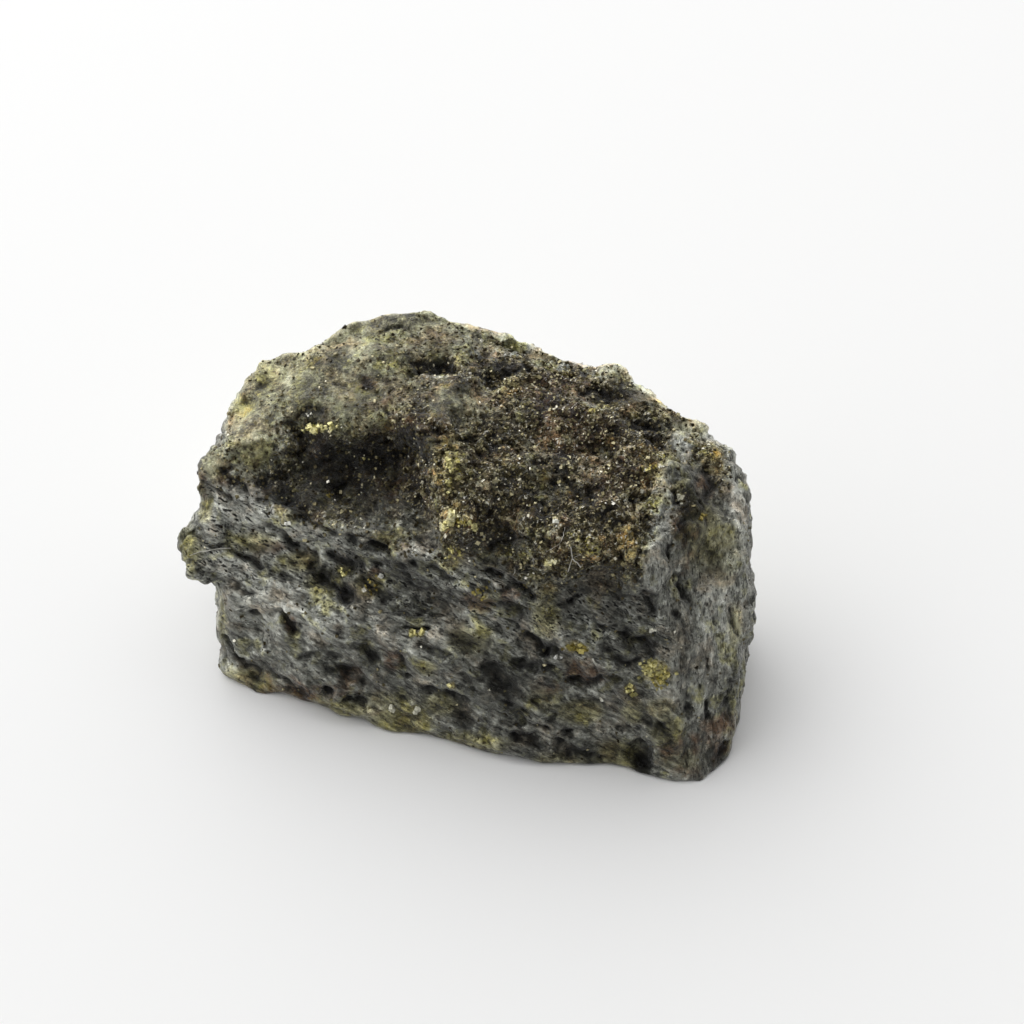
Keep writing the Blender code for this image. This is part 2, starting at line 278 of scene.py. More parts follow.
# Where a value comes in: it runs from the first number to the second, and gives the third to the fourth,
# or 0 to 1
RANGES = {
    "sheen": (0.15, 0.80),
    "olive": (0.15, 0.75),
    "ochre": (0.10, 0.85),
    "rust": (0.30, 1.00, 0.0, 0.80),
    "brass": (0.50, 1.05, 0.0, 0.90),
    "dark": (0.00, 1.00, 0.0, 0.75),
    # painted highlights on the rims of the ticks
    "tick rims": (0.46, 0.57, 0.0, 0.10),
    "ticks": (0.58, 0.64, 0.0, 0.75),
    "glints by crowd": (0.36, 0.55, 0.35, 1.0),
    "glints by tone": (0.36, 0.46),
    "glints by olive": (0.0, 0.8, 1.0, 0.15),
    "glints by dark": (0.1, 0.8, 1.0, 0.08),
    "shade by relief": (-0.16, 0.0, 0.35, 1.0),
    "shade by form": (-1.0, 0.0, 0.45, 1.0),
    "metal": (0.30, 0.60, 0.50, 0.90),
    "gloss": (0.35, 0.65, 0.24, 0.46),
    "film": (0.45, 0.70, 0.0, 0.75),
}
GLINT_CELLS = (0.865, 0.895)
PIT_EDGE = (0.57, 0.64)
TICKS_ALL_OVER = 0.25  # how strong the ticks are on all rock; the threaded rock has 1 more
# Strength of the painted light in the tone: raised relief and forms lighter and hollows darker, as painted
# highlight and shade, and the skin turned to the back lighter, as painted sheen
PAINTED_LIGHT_IN_TONE = {"relief": 0.35, "form": 0.05, "worn": 0.08}
PATCH_RAGGED = 0.8
RUST_RAGGED = 2.6
BRASS_RAGGED = 2.2
# Strength on the sides, and on the top
BLOTCHES = (0.50, 0.80)
GLITTER = (0.08, 0.16)
GLINTS = (0.08, 1.0)
# Strength on the front, and on the end faces
FRONT_THREADS = (1.0, 0.5)
FRONT_TICKS = (1.0, 0.6)
THREADS = (0.10, 0.30)  # low down, and high up
PIT_SHADE = (0.4, 0.8)  # light left in a pit, on the rest and on the olive dome
# Small faces of the grains: faces to a mm, and tilt on the sides, on the fresh top and where it is worn
SMALL_FACETS = (15.0, 0.35, 1.5, 0.4)
LARGE_FACETS = (4.5, 0.10, 0.40, 0.10)
FLAKE_BEND = 0.9
HALF = (0.5, 0.5, 0.5)  # the middle of a colour's range
# Depths of the finest relief, in metres
SIDE_GRIT = (0.04 * MM, 0.07 * MM)  # low down, and high up
TOP_GRIT = (0.10 * MM, 0.04 * MM)  # fresh, and worn
SHADE_DEPTH = 0.06 * MM
CRYSTAL_GRIT = 0.03 * MM
# The painted glints are barely metallic, so they stay bright from any side
GLINT_METAL = 0.15
SHEEN_WEIGHT = 0.25
SHEEN_ROUGHNESS = 0.35

# Pixels along the upper edge of the slab at the front, and along the ridge between front and right face
SLAB_EDGE = [(205, 466), (262, 494), (330, 524), (417, 542), (480, 558), (545, 578), (600, 582), (648, 570)]
CORNER_RIDGE = [(668, 436), (650, 490), (638, 545), (634, 580), (642, 640), (665, 690), (685, 740)]

# Patches by the pixel they are seen at: u, v, width and height in mm, strength
PATCHES = {
    "brass": [
        (317, 428, 1.3, 0.7, 1.0), (449, 468, 0.6, 2.0, 0.8), (459, 518, 1.5, 0.9, 0.7),
        (453, 555, 0.9, 1.2, 0.4), (551, 561, 1.0, 0.8, 0.9), (575, 647, 1.3, 0.7, 1.0),
        (656, 672, 1.6, 1.5, 1.0), (630, 690, 0.8, 0.7, 0.9), (417, 632, 1.0, 0.5, 0.9),
        (481, 594, 1.2, 1.2, 0.7), (370, 588, 1.1, 1.3, 0.6), (648, 470, 0.9, 0.9, 0.8),
        (705, 515, 0.7, 0.7, 0.7), (410, 722, 2.0, 1.4, 0.7), (452, 686, 0.5, 0.5, 1.0),
        (470, 445, 2.2, 3.0, 0.5), (600, 380, 3.0, 1.2, 0.5), (240, 402, 1.0, 1.0, 0.45),
        (344, 572, 1.0, 0.5, 0.6), (540, 700, 1.6, 1.2, 0.5),
    ],
    # painted sheen and rim light: paler rock where faces and the outline catch the light
    "sheen": [
        (245, 508, 4.5, 1.9, 0.9), (305, 533, 3.6, 1.2, 0.8), (400, 550, 3.2, 1.0, 0.7),
        (232, 562, 2.6, 1.6, 0.9), (272, 602, 5.4, 3.4, 0.65), (352, 622, 5.2, 2.4, 0.5),
        (424, 642, 4.2, 2.0, 0.4), (470, 608, 2.0, 2.6, 0.5), (660, 505, 1.5, 4.4, 0.5),
        (690, 645, 1.8, 5.6, 0.25), (741, 515, 0.9, 4.0, 1.0), (738, 610, 1.2, 5.2, 0.6),
        (480, 350, 3.0, 1.4, 0.6), (520, 350, 3.0, 1.0, 0.7), (560, 362, 2.6, 1.0, 0.7),
        (405, 325, 3.4, 1.4, 0.6), (250, 430, 3.4, 4.4, 0.8), (265, 385, 2.6, 3.0, 0.9),
        (240, 455, 2.0, 2.0, 0.9), (222, 410, 1.2, 4.4, 0.9), (248, 368, 3.0, 1.4, 0.8),
        (300, 340, 4.0, 1.3, 0.8), (350, 326, 3.0, 1.1, 0.8), (365, 318, 4.0, 1.0, 1.0),
        (395, 312, 3.0, 1.0, 1.0), (420, 312, 3.0, 1.0, 1.0), (440, 320, 3.0, 1.0, 0.7),
        (360, 350, 3.0, 1.8, 0.5), (612, 372, 3.0, 1.0, 0.6), (650, 392, 2.5, 1.0, 0.6),
        (700, 430, 2.5, 1.0, 0.8), (480, 620, 2.4, 3.0, 0.7), (315, 620, 4.5, 2.4, 0.7),
        (487, 717, 1.6, 1.2, 0.35), (240, 672, 2.4, 1.2, 0.6), (216, 620, 0.8, 3.5, 0.8),
        (370, 525, 1.8, 0.7, 0.4), (420, 556, 1.8, 0.7, 0.3), (330, 365, 4.0, 2.0, 0.4),
        (654, 560, 1.4, 5.0, 0.5), (662, 610, 1.2, 3.0, 0.3), (676, 650, 1.2, 3.0, 0.3),
        (688, 700, 1.2, 3.0, 0.2), (722, 615, 2.8, 5.6, 0.75), (714, 532, 1.2, 1.8, 0.8),
        (216, 536, 1.0, 1.4, 0.7), (470, 395, 3.0, 2.0, 0.5), (700, 690, 2.4, 3.0, 0.5),
        (260, 530, 3.6, 2.4, 0.75), (320, 545, 3.0, 1.6, 0.8), (668, 690, 1.6, 1.6, 0.5),
        (225, 505, 2.4, 2.4, 0.8), (330, 560, 1.6, 1.0, 0.6), (455, 620, 2.4, 1.6, 0.5),
        (450, 560, 1.2, 1.6, 0.2), (684, 440, 0.9, 2.0, 0.8), (672, 500, 1.0, 2.6, 0.3),
        (340, 332, 3.0, 1.4, 0.9), (385, 322, 4.0, 1.4, 0.9), (430, 322, 3.0, 1.4, 0.9),
    ],
    "rust": [
        (292, 622, 0.8, 1.2, 1.0), (262, 688, 3.6, 1.4, 0.5), (330, 690, 3.0, 1.0, 0.6),
        (690, 745, 3.0, 1.6, 0.8), (296, 695, 3.2, 1.2, 1.0), (345, 668, 1.8, 1.0, 0.7),
        (395, 660, 1.2, 1.4, 0.8), (720, 735, 2.2, 2.6, 0.8), (555, 385, 4.0, 2.0, 0.7),
        (590, 430, 4.5, 2.4, 0.6), (620, 470, 3.0, 2.4, 0.6), (400, 425, 2.6, 1.2, 0.7),
        (420, 480, 2.0, 2.4, 0.6), (575, 670, 1.2, 1.6, 0.8), (205, 420, 0.8, 1.6, 0.6),
        (198, 485, 0.6, 1.6, 0.7), (375, 575, 1.0, 0.8, 0.8), (272, 547, 1.4, 0.8, 0.9),
        (292, 690, 2.4, 1.6, 0.8), (345, 672, 2.2, 1.4, 0.6), (510, 595, 1.4, 1.0, 0.8),
        (480, 602, 1.8, 1.2, 0.9), (585, 672, 1.8, 1.6, 0.8), (550, 685, 1.6, 1.2, 0.5),
        (700, 760, 3.2, 1.6, 0.6), (690, 525, 1.8, 2.8, 0.6), (705, 490, 1.4, 1.6, 0.7),
        (690, 560, 0.9, 1.6, 0.6), (710, 735, 1.8, 2.2, 0.6), (225, 478, 0.8, 1.2, 0.8),
        (372, 385, 1.6, 1.0, 0.8), (395, 405, 2.6, 1.6, 0.6), (560, 415, 3.6, 2.6, 0.8),
        (615, 465, 2.4, 1.6, 0.8), (560, 545, 1.2, 1.4, 0.8), (620, 500, 2.6, 2.0, 0.5),
        (500, 400, 3.0, 1.2, 0.5), (385, 460, 2.0, 1.2, 0.5), (260, 680, 2.0, 0.8, 0.5),
        (405, 475, 1.4, 2.0, 0.7),
    ],
    "olive": [
        (330, 385, 8.5, 4.6, 0.9), (250, 425, 2.6, 4.6, 1.0), (275, 385, 4.0, 4.0, 0.9),
        (305, 358, 5.0, 2.2, 0.8), (355, 348, 5.0, 2.2, 0.8), (395, 325, 4.0, 2.0, 0.8),
        (440, 345, 4.0, 3.0, 0.6), (480, 345, 3.0, 1.4, 0.4), (500, 342, 4.0, 1.2, 0.6),
        (545, 356, 2.5, 1.2, 0.5), (620, 372, 3.0, 1.2, 0.6), (655, 398, 2.5, 1.2, 0.6),
        (690, 426, 2.5, 1.4, 0.6), (410, 345, 5.5, 2.6, 0.6), (215, 462, 1.5, 2.0, 0.8),
        (186, 540, 1.0, 2.0, 0.6), (725, 560, 2.0, 3.0, 0.5), (335, 334, 3.0, 1.4, 1.0),
        (368, 326, 4.0, 1.4, 1.0), (410, 320, 4.0, 1.4, 1.0), (450, 326, 3.0, 1.2, 0.8),
        (455, 400, 3.4, 2.4, 0.75),
    ],
    "ochre": [
        (402, 722, 3.0, 1.8, 1.0), (425, 668, 1.2, 0.8, 0.8), (330, 712, 5.0, 1.0, 0.8),
        (470, 742, 4.0, 1.0, 0.8), (560, 760, 3.0, 0.9, 0.6), (440, 705, 2.2, 1.2, 0.7),
        (580, 712, 2.2, 1.2, 0.9), (620, 760, 2.4, 2.0, 1.0), (668, 732, 1.8, 1.8, 0.8),
        (545, 700, 2.0, 1.4, 0.5), (255, 542, 2.2, 1.0, 0.7), (302, 562, 2.0, 1.0, 0.8),
        (325, 582, 1.8, 1.2, 0.9), (243, 685, 3.0, 1.5, 0.9), (300, 700, 3.0, 0.8, 0.8),
        (470, 640, 2.4, 1.6, 0.6), (545, 620, 1.4, 2.0, 0.8), (548, 592, 1.0, 1.2, 0.7),
        (632, 712, 1.2, 1.4, 0.7), (660, 710, 1.8, 1.2, 0.6), (590, 545, 1.6, 1.8, 0.8),
        (632, 540, 1.6, 2.4, 0.8), (650, 460, 1.6, 2.6, 0.8), (447, 465, 1.4, 3.2, 0.9),
        (560, 560, 1.4, 1.6, 0.8), (510, 385, 2.6, 1.6, 0.6), (705, 515, 1.0, 1.2, 0.8),
        (725, 535, 1.6, 1.6, 0.5), (712, 450, 1.6, 1.6, 0.6), (735, 625, 0.8, 2.4, 0.6),
        (680, 760, 2.6, 1.4, 0.5), (390, 700, 3.0, 1.0, 0.6), (345, 716, 3.0, 0.8, 0.5),
        (480, 750, 2.6, 0.8, 0.5), (370, 585, 1.6, 1.2, 0.8), (345, 570, 1.0, 0.6, 0.8),
        (265, 375, 1.6, 2.0, 0.5), (245, 408, 1.6, 1.2, 0.6), (300, 365, 3.0, 2.0, 0.3),
        (199, 485, 0.6, 1.8, 0.7), (206, 512, 0.8, 1.2, 0.8), (192, 552, 1.2, 1.8, 0.6),
        (222, 620, 0.6, 3.0, 0.6), (232, 678, 0.8, 1.4, 0.7), (457, 512, 2.0, 1.4, 0.6),
        (453, 553, 1.2, 1.6, 0.7), (703, 530, 2.2, 4.0, 0.7),
    ],
    # painted shade: near-black in hollows, clefts and bands under edges
    "dark": [
        (415, 440, 2.6, 1.5, 1.0), (345, 470, 6.5, 3.2, 0.9), (380, 500, 3.0, 1.6, 0.7),
        (300, 500, 3.2, 1.0, 0.9), (382, 548, 0.9, 0.7, 1.0), (643, 762, 1.2, 1.4, 1.0),
        (433, 369, 2.2, 0.9, 0.9), (508, 369, 2.2, 0.8, 0.8), (603, 397, 2.6, 0.8, 0.8),
        (650, 428, 2.0, 0.9, 0.8), (555, 485, 1.6, 2.6, 0.7), (500, 543, 3.6, 1.2, 0.8),
        (505, 683, 2.4, 2.6, 0.7), (697, 498, 2.2, 5.0, 0.6), (627, 397, 2.4, 1.2, 0.7),
        (588, 490, 1.6, 1.4, 0.6), (385, 545, 2.2, 0.8, 0.6), (275, 500, 3.4, 0.5, 0.7),
        (410, 575, 3.4, 1.2, 0.55), (440, 600, 3.0, 1.2, 0.45), (510, 612, 2.6, 1.4, 0.6),
        (545, 650, 2.2, 1.2, 0.6), (345, 592, 1.4, 1.0, 0.8), (355, 560, 2.2, 0.8, 0.5),
        (620, 650, 3.0, 1.0, 0.5), (600, 600, 4.5, 3.0, 0.6), (690, 530, 1.4, 3.2, 0.5),
        (330, 575, 2.0, 0.9, 0.7), (470, 640, 2.2, 1.0, 0.5), (655, 640, 1.4, 1.2, 0.7),
        (475, 695, 1.8, 1.0, 0.6), (495, 563, 2.8, 0.9, 0.8), (395, 564, 2.6, 0.9, 0.7),
        (612, 704, 1.8, 0.9, 0.5), (572, 640, 1.0, 0.8, 0.2), (655, 590, 0.9, 3.6, 0.3),
        (688, 676, 1.0, 1.6, 0.4), (272, 454, 1.2, 0.9, 0.5), (545, 465, 2.4, 2.2, 0.5),
        (664, 500, 0.8, 3.6, 0.3), (324, 538, 1.0, 0.7, 0.5), (350, 512, 1.6, 0.8, 0.4),
        (380, 538, 1.6, 0.8, 0.4), (428, 538, 1.4, 0.8, 0.5), (532, 564, 1.0, 0.8, 0.4),
        (428, 648, 1.0, 0.8, 0.4), (500, 722, 4.0, 1.2, 0.35), (555, 718, 1.6, 1.6, 0.35),
        (530, 500, 2.0, 1.8, 0.5), (350, 412, 1.8, 1.6, 0.4), (600, 752, 5.0, 1.0, 0.5),
        (714, 758, 2.0, 1.2, 0.6), (662, 545, 0.8, 3.0, 0.3),
    ],
}
# More rock like that of the end faces, with the same five values
SIDE_PATCHES = [
    (684, 424, 0.8, 1.0, 0.9), (679, 446, 0.9, 1.6, 1.0), (674, 474, 0.9, 1.6, 1.0),
    (669, 502, 0.9, 1.6, 1.0), (664, 530, 0.9, 1.6, 1.0),
]

# Lint: path of pixels, and thickness in mm
LINT = [
    ([(190, 556), (200, 552), (214, 550), (231, 548)], 0.060),
    ([(565, 527), (564, 535), (560, 543), (553, 549), (546, 551)], 0.055),
    ([(571, 546), (572, 558), (568, 571)], 0.080),
    ([(572, 559), (577, 562), (581, 567)], 0.070),
    ([(572, 558), (577, 556), (581, 554)], 0.050),
]

# Clusters of crystals: u, v, width and height in mm, how many, their size in mm, tint
CRYSTALS = [
    (317, 428, 1.1, 0.40, 26, 0.20, 0.68), (445, 527, 0.20, 0.15, 6, 0.26, 0.80),
    (447, 523, 0.20, 0.20, 6, 0.27, 0.88), (450, 519, 0.20, 0.20, 6, 0.26, 0.95),
    (453, 515, 0.20, 0.15, 5, 0.22, 0.95), (450, 509, 0.15, 0.15, 3, 0.18, 0.72),
    (460, 516, 0.30, 0.05, 4, 0.15, 0.95), (470, 521, 0.10, 0.20, 4, 0.16, 0.62),
    (474, 527, 0.15, 0.20, 5, 0.18, 0.74), (461, 522, 0.80, 0.40, 16, 0.12, 0.42),
    (453, 552, 0.6, 0.9, 14, 0.13, 0.50), (449, 468, 0.3, 1.8, 16, 0.14, 0.66),
    (551, 561, 0.5, 0.4, 7, 0.22, 0.85), (575, 647, 1.0, 0.40, 16, 0.22, 0.35),
    (649, 667, 0.8, 0.7, 60, 0.13, 0.62), (660, 676, 0.8, 0.9, 60, 0.13, 0.50),
    (630, 690, 0.5, 0.4, 9, 0.16, 0.60), (417, 633, 0.6, 0.18, 6, 0.24, 0.60),
    (452, 686, 0.2, 0.2, 3, 0.18, 0.85), (705, 515, 0.4, 0.4, 4, 0.15, 0.30),
    (648, 470, 0.6, 0.6, 9, 0.13, 0.45), (344, 572, 0.7, 0.3, 8, 0.12, 0.60),
    (481, 592, 0.9, 0.7, 14, 0.12, 0.35), (370, 588, 0.7, 0.8, 10, 0.12, 0.25),
    (329, 495, 0.5, 0.3, 5, 0.13, 0.25), (367, 459, 0.5, 0.2, 4, 0.12, 0.60),
]
PALE_CRYSTALS = [
    (556, 521, 0.1, 0.1, 3, 0.21, 0.8), (679, 496, 0.3, 0.6, 8, 0.14, 0.3),
    (652, 630, 0.5, 0.2, 6, 0.13, 0.6), (556, 657, 0.3, 0.2, 3, 0.17, 0.95),
    (247, 600, 0.3, 0.2, 3, 0.18, 0.8), (380, 576, 0.3, 0.2, 3, 0.17, 0.9),
    (394, 709, 0.3, 0.2, 4, 0.24, 0.5), (417, 710, 0.3, 0.2, 4, 0.24, 0.5),
    (309, 415, 0.3, 0.1, 3, 0.11, 0.7), (289, 523, 0.3, 0.1, 3, 0.16, 0.9),
    (600, 700, 0.2, 0.2, 2, 0.18, 0.6),
]

# Forms by the pixels they run through: path, width in mm, and height in mm, which is below zero for a groove
# or pit and is multiplied by FORM_STRENGTH
FORMS = [
    # upper edge of the slab and the ledges on its left
    ([(262, 482), (276, 490), (290, 502), (306, 515)], 1.0, -0.40),
    ([(315, 527), (335, 535), (356, 543)], 0.6, -0.30),
    ([(270, 526), (285, 538), (300, 550), (313, 556)], 0.7, -0.32),
    ([(228, 548), (240, 555), (253, 561), (262, 567)], 0.32, -0.34),
    ([(312, 566), (326, 578), (345, 591), (356, 599)], 0.9, -0.45),
    ([(374, 547), (388, 551)], 0.75, -0.60),
    ([(222, 470), (232, 480), (242, 490)], 0.6, -0.28),
    ([(203, 484), (215, 491), (228, 497)], 0.5, -0.22),
    ([(355, 570), (372, 580), (385, 596)], 0.9, -0.25),
    ([(320, 552), (345, 562), (362, 566)], 0.5, -0.22),
    ([(240, 498), (270, 515), (298, 532), (318, 550), (332, 572)], 0.6, 0.20),
    ([(232, 556), (252, 571), (280, 583), (310, 589), (335, 599), (347, 613)], 0.7, 0.26),
    ([(265, 606), (300, 611), (330, 619), (356, 622)], 0.6, 0.18),
    # lower left
    ([(238, 588), (250, 595)], 0.5, -0.25),
    ([(240, 612), (258, 618)], 0.8, -0.36),
    ([(283, 614), (287, 622), (293, 629)], 0.7, -0.42),
    ([(223, 640), (232, 656), (245, 668), (258, 674)], 0.7, -0.35),
    ([(264, 666), (285, 680), (300, 692), (306, 701)], 0.9, -0.30),
    ([(327, 693)], 0.6, -0.35),
    ([(348, 697), (362, 703)], 0.6, -0.35),
    ([(407, 678)], 0.5, -0.30),
    ([(355, 645), (368, 652), (378, 658)], 0.6, -0.25),
    ([(330, 668), (350, 673), (362, 681)], 0.8, -0.25),
    ([(300, 657), (325, 650), (336, 655)], 0.5, -0.20),
    ([(398, 654), (404, 668)], 0.5, -0.20),
    ([(245, 655), (264, 650)], 0.8, 0.18),
    ([(298, 681), (320, 688)], 0.7, 0.18),
    ([(335, 684), (364, 690)], 0.5, 0.14),
    ([(338, 704), (375, 712)], 0.8, 0.18),
    ([(385, 640), (412, 650)], 0.8, 0.15),
    # middle of the front
    ([(390, 512), (403, 533), (425, 551), (450, 571), (472, 590)], 0.45, 0.20),
    ([(413, 563), (432, 571), (453, 579)], 0.55, -0.30),
    ([(399, 567), (411, 585), (430, 593), (452, 595)], 0.6, -0.22),
    ([(406, 627), (428, 629)], 0.28, -0.42),
    ([(422, 645), (446, 655)], 0.8, -0.30),
    ([(491, 573), (501, 573)], 0.6, -0.38),
    ([(511, 581), (525, 591), (536, 598)], 0.6, -0.42),
    ([(503, 605), (520, 611)], 1.0, -0.42),
    ([(503, 618), (516, 629)], 0.45, -0.28),
    ([(478, 577), (495, 583), (512, 590), (525, 605), (533, 622)], 0.35, 0.18),
    ([(530, 642), (545, 650), (558, 652)], 1.0, -0.50),
    ([(530, 613), (546, 621), (554, 631), (571, 641)], 0.9, 0.25),
    ([(519, 661), (531, 666)], 0.8, -0.38),
    ([(542, 668), (551, 672)], 0.7, -0.34),
    ([(494, 668), (500, 680), (509, 690)], 1.4, -0.42),
    ([(573, 684), (586, 688), (600, 684)], 0.6, -0.42),
    ([(617, 660), (630, 666), (638, 663)], 0.5, -0.36),
    ([(429, 690), (447, 698), (466, 702)], 0.8, -0.36),
    ([(508, 708), (524, 722), (542, 729)], 1.0, -0.40),
    ([(518, 735), (540, 742), (553, 751)], 0.8, -0.36),
    ([(561, 745), (575, 757), (592, 762)], 1.0, -0.40),
    ([(568, 735)], 0.6, -0.30),
    ([(618, 728), (636, 727)], 0.5, -0.25),
    ([(643, 752), (646, 770)], 1.3, -0.55),
    ([(648, 721), (661, 729), (669, 741)], 0.8, -0.34),
    ([(460, 714), (466, 728)], 1.1, -0.26),
    ([(531, 702), (543, 711)], 1.0, 0.24),
    ([(458, 736), (476, 743), (493, 746)], 1.0, 0.18),
    ([(506, 725), (530, 732), (549, 742)], 0.4, 0.18),
    ([(640, 675), (655, 687), (673, 697)], 0.7, 0.24),
    ([(610, 665), (626, 673), (647, 692), (670, 712), (682, 727)], 0.6, 0.20),
    ([(455, 600), (470, 612), (482, 626), (500, 640)], 0.8, 0.20),
    # triangular recess and the bulges beside it
    ([(592, 533), (590, 552)], 1.4, 0.40),
    ([(630, 518), (633, 560)], 1.3, 0.34),
    ([(604, 533), (606, 562)], 0.45, -0.36),
    ([(545, 540), (556, 562)], 0.8, -0.28),
    ([(560, 607), (577, 599)], 0.4, -0.25),
    ([(598, 468), (590, 480), (582, 492)], 0.30, 0.20),
    ([(624, 496), (636, 489)], 0.30, 0.20),
    ([(650, 598), (648, 622)], 0.9, -0.34),
    ([(628, 640), (650, 650)], 1.0, -0.34),
    ([(508, 526), (507, 540)], 0.5, -0.32),
    ([(560, 472), (575, 482), (583, 500)], 1.1, -0.30),
    ([(500, 590), (520, 590)], 0.5, -0.2),
    # right face
    ([(692, 498), (687, 520), (681, 541)], 1.2, -0.16),
    ([(673, 491), (676, 502)], 0.45, -0.36),
    ([(703, 468), (711, 488), (706, 505)], 0.8, -0.12),
    ([(669, 547), (670, 563)], 0.35, -0.34),
    ([(706, 545), (710, 562), (716, 573)], 0.7, -0.20),
    ([(679, 580), (687, 599)], 0.6, -0.30),
    ([(733, 612), (737, 634)], 0.4, -0.18),
    ([(707, 659), (708, 677)], 0.35, -0.30),
    ([(700, 688), (702, 700)], 0.30, -0.25),
    ([(707, 703), (708, 718)], 0.35, -0.28),
    ([(686, 690), (690, 715)], 0.6, -0.24),
    ([(725, 699), (729, 716)], 0.9, -0.28),
    ([(729, 745), (732, 762)], 0.7, -0.24),
    ([(700, 610), (704, 640), (712, 656), (707, 681), (698, 706)], 0.35, 0.16),
    ([(733, 472), (738, 500), (740, 530), (740, 560)], 1.1, 0.16),
    ([(666, 470), (660, 500), (654, 540), (657, 580)], 0.9, 0.18),
    # upper left lobe
    ([(417, 369), (430, 366), (446, 365)], 0.9, -0.45),
    ([(298, 415), (310, 409), (321, 411)], 0.5, -0.24),
    ([(380, 332), (392, 328), (402, 324)], 0.3, -0.16),
    ([(336, 382), (344, 386)], 0.4, -0.12),
    ([(393, 349)], 0.4, -0.10),
    ([(412, 403), (424, 411)], 0.6, -0.20),
    ([(364, 384), (379, 390)], 0.6, -0.12),
    ([(257, 387), (266, 383)], 0.4, -0.08),
    ([(290, 423), (299, 432)], 0.8, -0.22),
    ([(424, 355), (430, 356)], 0.3, -0.14),
    ([(228, 448), (250, 438), (290, 436)], 0.6, 0.18),
    # upper middle
    ([(492, 379), (508, 372), (523, 366)], 0.9, -0.50),
    ([(447, 369), (458, 373)], 0.6, -0.30),
    ([(580, 392), (598, 390), (612, 398)], 0.7, -0.34),
    ([(596, 446), (612, 455)], 0.7, -0.36),
    ([(638, 425), (650, 430), (665, 427)], 0.9, -0.42),
    ([(610, 429), (620, 432)], 0.5, -0.28),
    ([(459, 437), (476, 437)], 0.6, -0.28),
    ([(533, 461), (546, 466)], 0.5, -0.28),
    ([(480, 455), (500, 462)], 0.5, -0.20),
    ([(545, 365), (560, 372)], 0.5, -0.25),
    ([(433, 440), (450, 438), (472, 430)], 0.35, 0.24),
    ([(500, 392), (516, 387)], 0.8, 0.20),
    ([(590, 412), (605, 420)], 0.7, 0.22),
    ([(604, 378), (616, 390)], 0.9, 0.22),
    ([(448, 455), (446, 485)], 0.6, 0.22),
    ([(405, 470), (425, 462)], 0.4, 0.20),
    ([(402, 484), (428, 476)], 0.35, 0.18),
    ([(405, 497), (430, 488)], 0.35, 0.18),
    ([(400, 455), (415, 450)], 0.8, -0.30),
]
# Forms that shape the outline; grooves among them take no shade
OUTLINE_FORMS = [
    ([(184, 551), (187, 560), (194, 571)], 1.5, 0.80),
    ([(197, 503), (190, 518), (186, 531)], 1.6, -0.60),
    ([(226, 394), (222, 412), (216, 428), (208, 442)], 2.4, -0.55),
    ([(212, 602), (213, 640)], 3.2, -0.55),
    ([(440, 312), (460, 322), (500, 334), (540, 346), (575, 360)], 2.4, -0.50),
    ([(500, 340), (520, 345), (545, 353)], 1.8, -0.40),
    ([(338, 337), (352, 330)], 1.3, -0.45),
    ([(645, 383), (668, 396), (690, 410), (714, 428)], 2.6, -0.60),
    ([(686, 422), (704, 430)], 1.3, -0.50),
    ([(749, 614), (750, 638)], 1.2, 0.50),
]


# ---- helpers


def smoothstep(low, high, x):
    """0 up to low, 1 from high on and smooth between them, for one number."""
    t = min(max((x - low) / (high - low), 0.0), 1.0)
    return t * t * (3 - 2 * t)


def steps(low, high, x):
    """The same for an array."""
    t = np.clip((x - low) / (high - low), 0, 1)
    return t * t * (3 - 2 * t)


def new_object(name, data):
    obj = bpy.data.objects.new(name, data)
    bpy.context.scene.collection.objects.link(obj)
    return obj


def read(items, name, width=1, kind=np.float64):
    """A value, or a row of width values, for each of a mesh's items."""
    values = np.empty(len(items) * width, kind)
    items.foreach_get(name, values)
    return values.reshape(-1, width) if width > 1 else values


def put(mesh, name, values):
    """Stores a value for each vertex, where a material can read it."""
    attribute = mesh.attributes.new(name, "FLOAT", "POINT")
    attribute.data.foreach_set("value", np.asarray(values, np.float32))


def applied(obj, kind, **settings):
    """Adds a modifier to an object and applies it."""
    modifier = obj.modifiers.new(kind, kind)
    for name, value in settings.items():
        setattr(modifier, name, value)
    graph = bpy.context.evaluated_depsgraph_get()
    mesh = bpy.data.meshes.new_from_object(obj.evaluated_get(graph))
    obj.modifiers.clear()
    obj.data = mesh


def averaged(values, edges, passes):
    """Each vertex's value moved half of the way to its neighbours' mean, again and again."""
    a, b = edges.T
    count = len(values)
    degree = np.bincount(a, minlength=count) + np.bincount(b, minlength=count)
    degree = np.maximum(degree, 1)[:, None]
    values = values.reshape(count, -1)
    for _ in range(passes):
        columns = [np.bincount(a, v[b], count) + np.bincount(b, v[a], count) for v in values.T]
        values = (values + np.stack(columns, axis=1) / degree) / 2
    return values


# ---- camera


def camera_axes():
    flat = math.cos(ELEVATION)
    back = Vector((math.sin(AZIMUTH) * flat, -math.cos(AZIMUTH) * flat, math.sin(ELEVATION)))
    right = Vector((math.cos(AZIMUTH), math.sin(AZIMUTH), 0))
    return right, back.cross(right), back


def camera_place():
    """The camera's centre, and its focal length in pixels."""
    right, up, back = camera_axes()
    focal = FRAME_SIDE / 2 / math.tan(HALF_VIEW)
    aside = (AIM_PIXEL[0] - FRAME_SIDE / 2) / focal * DISTANCE
    above = (FRAME_SIDE / 2 - AIM_PIXEL[1]) / focal * DISTANCE
    return AIM + back * DISTANCE - right * aside - up * above, focal


def pixel_ray(u, v):
    right, up, back = camera_axes()
    centre, focal = camera_place()
    way = right * ((u - FRAME_SIDE / 2) / focal) - up * ((v - FRAME_SIDE / 2) / focal) - back
    return centre, way.normalized()


